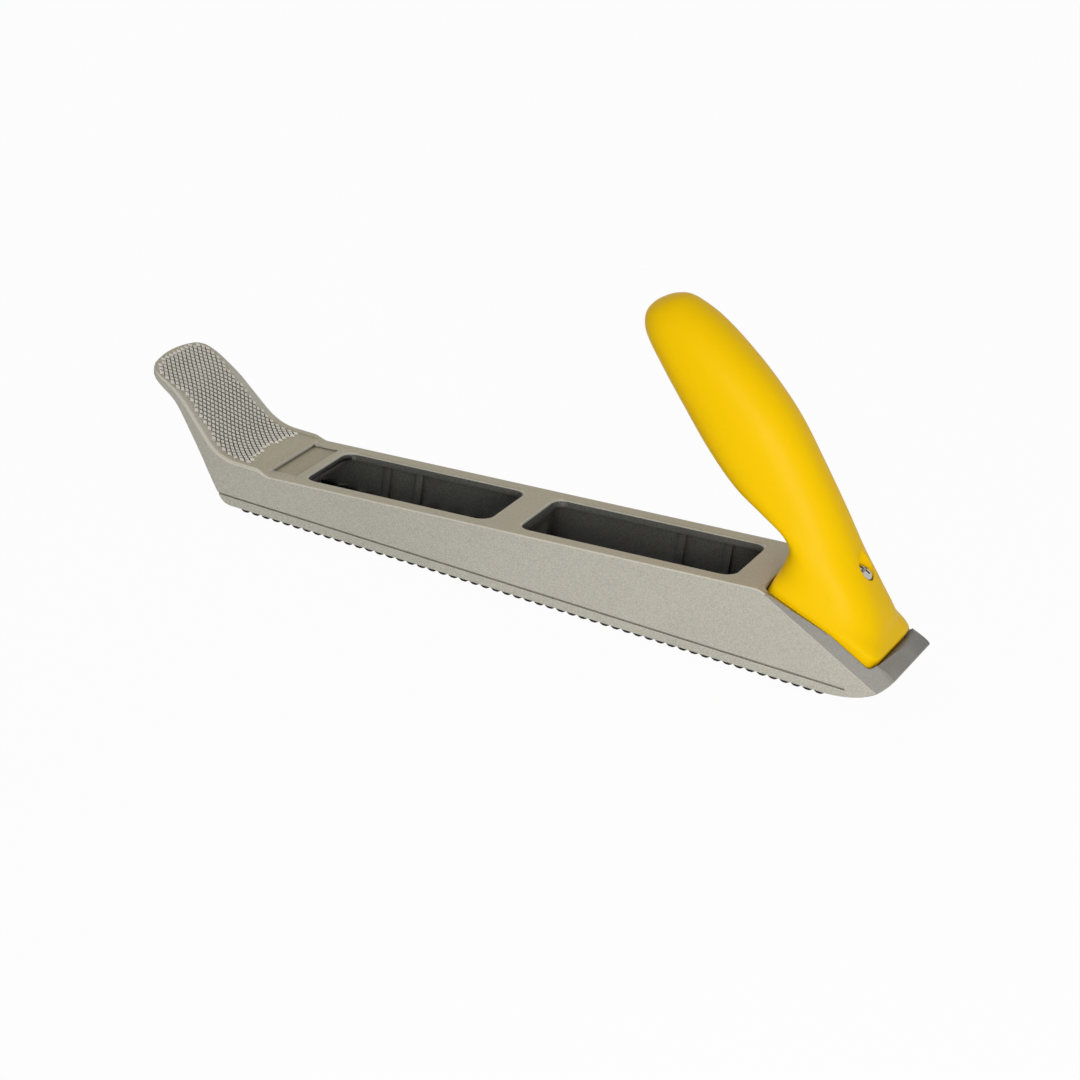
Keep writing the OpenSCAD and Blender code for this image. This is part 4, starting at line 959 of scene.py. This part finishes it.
def thread_tree():
    """A V ridge wound along Z, added to the core that is passed in."""
    number = "NodeSocketFloat"
    tree, sheet, start, end = new_group(
        "GeometryNodeTree", "Thread",
        [("Geometry", "NodeSocketGeometry", None), ("Radius", number, 0.002), ("Depth", number, 0.00035),
         ("Pitch", number, 0.0007), ("Length", number, 0.02), ("Material", "NodeSocketMaterial", None)],
        [("Geometry", "NodeSocketGeometry")],
    )
    value = start.outputs
    path_radius = sheet.math("SUBTRACT", value["Radius"], value["Depth"])
    turns = sheet.math("DIVIDE", value["Length"], value["Pitch"])
    spiral = sheet.add(
        "GeometryNodeCurveSpiral",
        {"Resolution": 24, "Rotations": turns, "Start Radius": path_radius, "End Radius": path_radius,
         "Height": value["Length"], "Reverse": False},
    )
    upright = sheet.add("GeometryNodeSetCurveNormal", {"Curve": spiral.outputs[0]}, mode="Z_UP")
    profile = {"Resolution": 4, "Radius": value["Depth"]}
    ridge = sheet.add("GeometryNodeCurvePrimitiveCircle", profile, mode="RADIUS")
    swept = {"Curve": upright.outputs[0], "Profile Curve": ridge.outputs[0], "Fill Caps": True}
    wound = sheet.add("GeometryNodeCurveToMesh", swept)
    both = sheet.add("GeometryNodeJoinGeometry")
    sheet.give(both, {0: wound.outputs[0]})
    sheet.give(both, {0: value["Geometry"]})
    sheet.close(end, both.outputs[0], value["Material"])
    return tree


def threaded(node, body, place, plain, length, radius, pitch, tree):
    """A screw whose plain CAD shank gets a thread past its plain length. Place puts +Z along the shank."""
    piece = merged_copy(node, node + "_threaded")
    cut_away(piece, tube("shank", radius + 1, plain, length + 1, place))
    depth = 0.5 * pitch
    core = radius - depth
    bm = bmesh.new()
    rod(bm, core, core, plain - SHANK_LAP, length - TIP_BEVEL)
    rod(bm, core, core - depth, length - TIP_BEVEL, length)
    shank = from_bmesh("shank_core", bm)
    thread_start = Matrix.Translation((0, 0, (plain + depth) * MM))
    shank.data.transform(thread_start.inverted())
    grow(shank, tree, **{
        "Radius": radius * MM, "Depth": depth * MM, "Pitch": pitch * MM,
        "Length": (length - plain - 2 * depth - TIP_BEVEL) * MM, "Material": ZINC,
    })
    shank.data.transform(place @ thread_start)
    join(piece, shank)
    smooth(piece, degrees=35)
    one_material(piece, ZINC)
    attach(piece, body)
    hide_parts(node)
    return piece


def screws():
    """The handle screw, down into its pocket, and the tension screw, in towards the heel."""
    tree = thread_tree()
    down = on_seat() @ Matrix.Translation((0, 0, HEAD_V * MM)) @ Matrix.Rotation(math.pi, 4, "X")
    inward = Matrix.Translation((TENSION_X * MM, 0, TENSION_H * MM)) @ Matrix.Rotation(math.pi / 2, 4, "Y")
    threaded(
        "handle_screw", "handle_screw", down,
        plain=2.0, length=SHANK_L, radius=SHANK_D / 2, pitch=0.7, tree=tree,
    )
    threaded(
        "tension_screw", "tension_screw", inward,
        plain=7.4, length=TENSION_L, radius=TENSION_D / 2, pitch=0.8, tree=tree,
    )


# Handle, in the frame of the heel slope. A section has the X and Z of its toe end and of its heel end,
# its half width, its squareness and how far it narrows at the heel end
GRIP_SECTIONS = [
    (-23.4, 4.0, 18.9, 4.2, 17.8, 4.5, 0.06),
    (-23.8, 8.0, 14.9, 8.4, 16.4, 3.4, 0.14),
    (-25.6, 13.5, 5.6, 15.3, 15.2, 2.9, 0.22),
    (-31.2, 16.8, -3.0, 21.3, 14.6, 2.7, 0.25),
    (-40.4, 17.7, -15.4, 30.6, 14.4, 2.6, 0.25),
    (-52.4, 19.2, -30.6, 40.9, 14.6, 2.5, 0.20),
    (-66.6, 24.6, -45.4, 50.2, 14.8, 2.4, 0.15),
    (-81.8, 32.5, -59.4, 56.6, 14.6, 2.3, 0.10),
    (-95.0, 40.1, -73.2, 61.2, 14.1, 2.3, 0.08),
    (-105.8, 46.6, -85.5, 64.4, 12.6, 2.2, 0.05),
    (-109.6, 51.6, -94.4, 65.4, 10.0, 2.1, 0),
    (-109.2, 56.4, -99.8, 65.2, 6.4, 2.1, 0),
    (-106.8, 60.4, -103.2, 63.7, 2.4, 2, 0),
]
FOOT_L, FOOT_W, FOOT_LOW, FOOT_TOP, FOOT_SQUARE = 45.4, 38.4, -4.95, 0.6, 9
SPIGOT_R, SPIGOT_LOW, SPIGOT_TOP = 6.0, -7.6, -4.4
SCREW_BORE, HEAD_BORE = (2.3, -9.0, 15.6), (4.4, 14.6, 40.0)


def on_seat():
    """From the frame of the heel slope, its Z along the screw, to the row's frame."""
    return Matrix.Translation(SEAT * MM) @ Matrix.Rotation(math.radians(SLOPE_TILT), 4, "Y")


def grip_sections(steps):
    """The foot's and the grip's sections, with smooth steps between each pair."""
    def foot(v):
        return np.array((-FOOT_L / 2, v, FOOT_L / 2, v, FOOT_W / 2, FOOT_SQUARE, 0))

    keys = [foot(FOOT_LOW), foot(FOOT_LOW / 2), foot(FOOT_TOP)] + [np.array(s) for s in GRIP_SECTIONS]
    sections = [keys[0], keys[1]]
    for i in range(2, len(keys) - 1):
        a, b, c, d = keys[i - 1], keys[i], keys[i + 1], keys[min(i + 2, len(keys) - 1)]
        for k in range(steps):
            t = k / steps
            cubic = 2 * a - 5 * b + 4 * c - d + t * (3 * (b - c) + d - a)
            sections.append(b + 0.5 * t * (c - a + t * cubic))
    return sections + [keys[-1]]


def grip_ring(section, sides=96):
    """Points round one section, an oval that turns square as its squareness grows."""
    x0, z0, x1, z1, half, square, narrowing = section
    ring = []
    for k in range(sides):
        angle = math.radians((k + 0.5) * 360 / sides)
        cosine, sine = math.cos(angle), math.sin(angle)
        along = math.copysign(abs(cosine) ** (2 / square), cosine)
        across = half * math.copysign(abs(sine) ** (2 / square), sine) * (1 - narrowing * along)
        ring.append(((x0 + x1) / 2 + (x1 - x0) / 2 * along, across, (z0 + z1) / 2 + (z1 - z0) / 2 * along))
    return ring


def grip_shell():
    """The handle lofted through its sections, with its spigot and its two bores."""
    upright = Matrix.Identity(4)
    bm = bmesh.new()
    loft(bm, [grip_ring(section) for section in grip_sections(steps=8)])
    piece = from_bmesh("grip_shell", bm)
    combine(piece, tube("spigot", SPIGOT_R, SPIGOT_LOW, SPIGOT_TOP, upright), "UNION")
    for radius, low, high in (SCREW_BORE, HEAD_BORE):
        cut_away(piece, tube("bore", radius, low, high, upright))
    piece.data.transform(on_seat())
    smooth(piece, degrees=40)
    one_material(piece, YELLOW)
    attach(piece, "grip")
    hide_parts("handle")
    return piece


# Nodes that keep their CAD shape
PLATED = ("handle_washer", "handle_nut", "draw_hook", "tension_nut", "tension_washer", "tension_clip")


def coat(node, material):
    """Gives a CAD node that stays as it is its finish."""
    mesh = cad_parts[node].data
    mesh.materials.clear()
    mesh.materials.append(material)


# Stage
FLOOR_HALF, FLOOR_Z = 6.0, -0.0001
GLOW_SHARE, SOFT_LIGHT, WHITE = 0.96, 0.405, 0.98


def seen_ray(sheet):
    """1 for a ray from the camera, straight or by a mirror image, which sees the white background."""
    path = sheet.add("ShaderNodeLightPath").outputs
    seen = sheet.math("MAXIMUM", path["Is Camera Ray"], path["Is Glossy Ray"])
    return sheet.math("MAXIMUM", seen, path["Is Transmission Ray"])


def white_floor():
    """A matt floor that takes the shadows and looks nearly white to the camera."""
    bm = bmesh.new()
    place = Matrix.Translation((0, 0, FLOOR_Z))
    bmesh.ops.create_grid(bm, x_segments=1, y_segments=1, size=FLOOR_HALF, matrix=place)
    material, sheet, shader = new_finish("pale_floor")
    shader.inputs["Base Color"].default_value = (0.86, 0.86, 0.86, 1)
    shader.inputs["Roughness"].default_value = 0.9
    shader.inputs["Specular IOR Level"].default_value = 0.1
    glow = sheet.add("ShaderNodeEmission", {"Color": (1, 1, 1, 1), "Strength": 1.0})
    share = sheet.math("MULTIPLY", seen_ray(sheet), GLOW_SHARE)
    both = sheet.add("ShaderNodeMixShader", {0: share, 1: shader.outputs[0], 2: glow.outputs[0]})
    sheet.give(material.node_tree.nodes["Material Output"], {"Surface": both.outputs[0]})
    floor = from_bmesh("floor", bm, material)


def studio():
    """Soft light from all round, and a white background."""
    world = bpy.data.worlds.new("studio")
    bpy.context.scene.world = world
    world.use_nodes = True
    sheet = Sheet(world.node_tree)
    soft_light = world.node_tree.nodes["Background"]
    soft_light.inputs["Color"].default_value = (1, 1, 1, 1)
    soft_light.inputs["Strength"].default_value = SOFT_LIGHT
    white = sheet.add("ShaderNodeBackground", {"Color": (1, 1, 1, 1), "Strength": WHITE})
    mixed = {0: seen_ray(sheet), 1: soft_light.outputs[0], 2: white.outputs[0]}
    both = sheet.add("ShaderNodeMixShader", mixed)
    sheet.give(world.node_tree.nodes["World Output"], {"Surface": both.outputs[0]})


def lamp(name, place, target, size, power, spread=180):
    """A soft box that lights the target."""
    data = bpy.data.lights.new(name, "AREA")
    data.shape = "RECTANGLE"
    data.size, data.size_y = size
    data.energy = power
    data.spread = math.radians(spread)
    light = bpy.data.objects.new(name, data)
    bpy.context.scene.collection.objects.link(light)
    light.location = place
    light.rotation_euler = (Vector(target) - Vector(place)).to_track_quat("-Z", "Y").to_euler()


aim_camera(CAMERA_PLACE, CAMERA_FORWARD, CAMERA_UP, LENS)
body_casting()
knurl()
grip_shell()
blade()
screws()
for node in PLATED:
    coat(node, ZINC)
white_floor()
studio()
lamp("key", (0.55, -0.78, 0.27), target=(0.12, 0, 0.05), size=(0.38, 0.3), power=0.78, spread=70)
lamp("fill", (-0.5, -1.5, 0.9), target=(0, 0, 0.03), size=(1.1, 0.8), power=0.9)
lamp("back", (-1.1, 0.6, 0.8), target=(0, 0, 0.03), size=(0.7, 0.5), power=1.2)
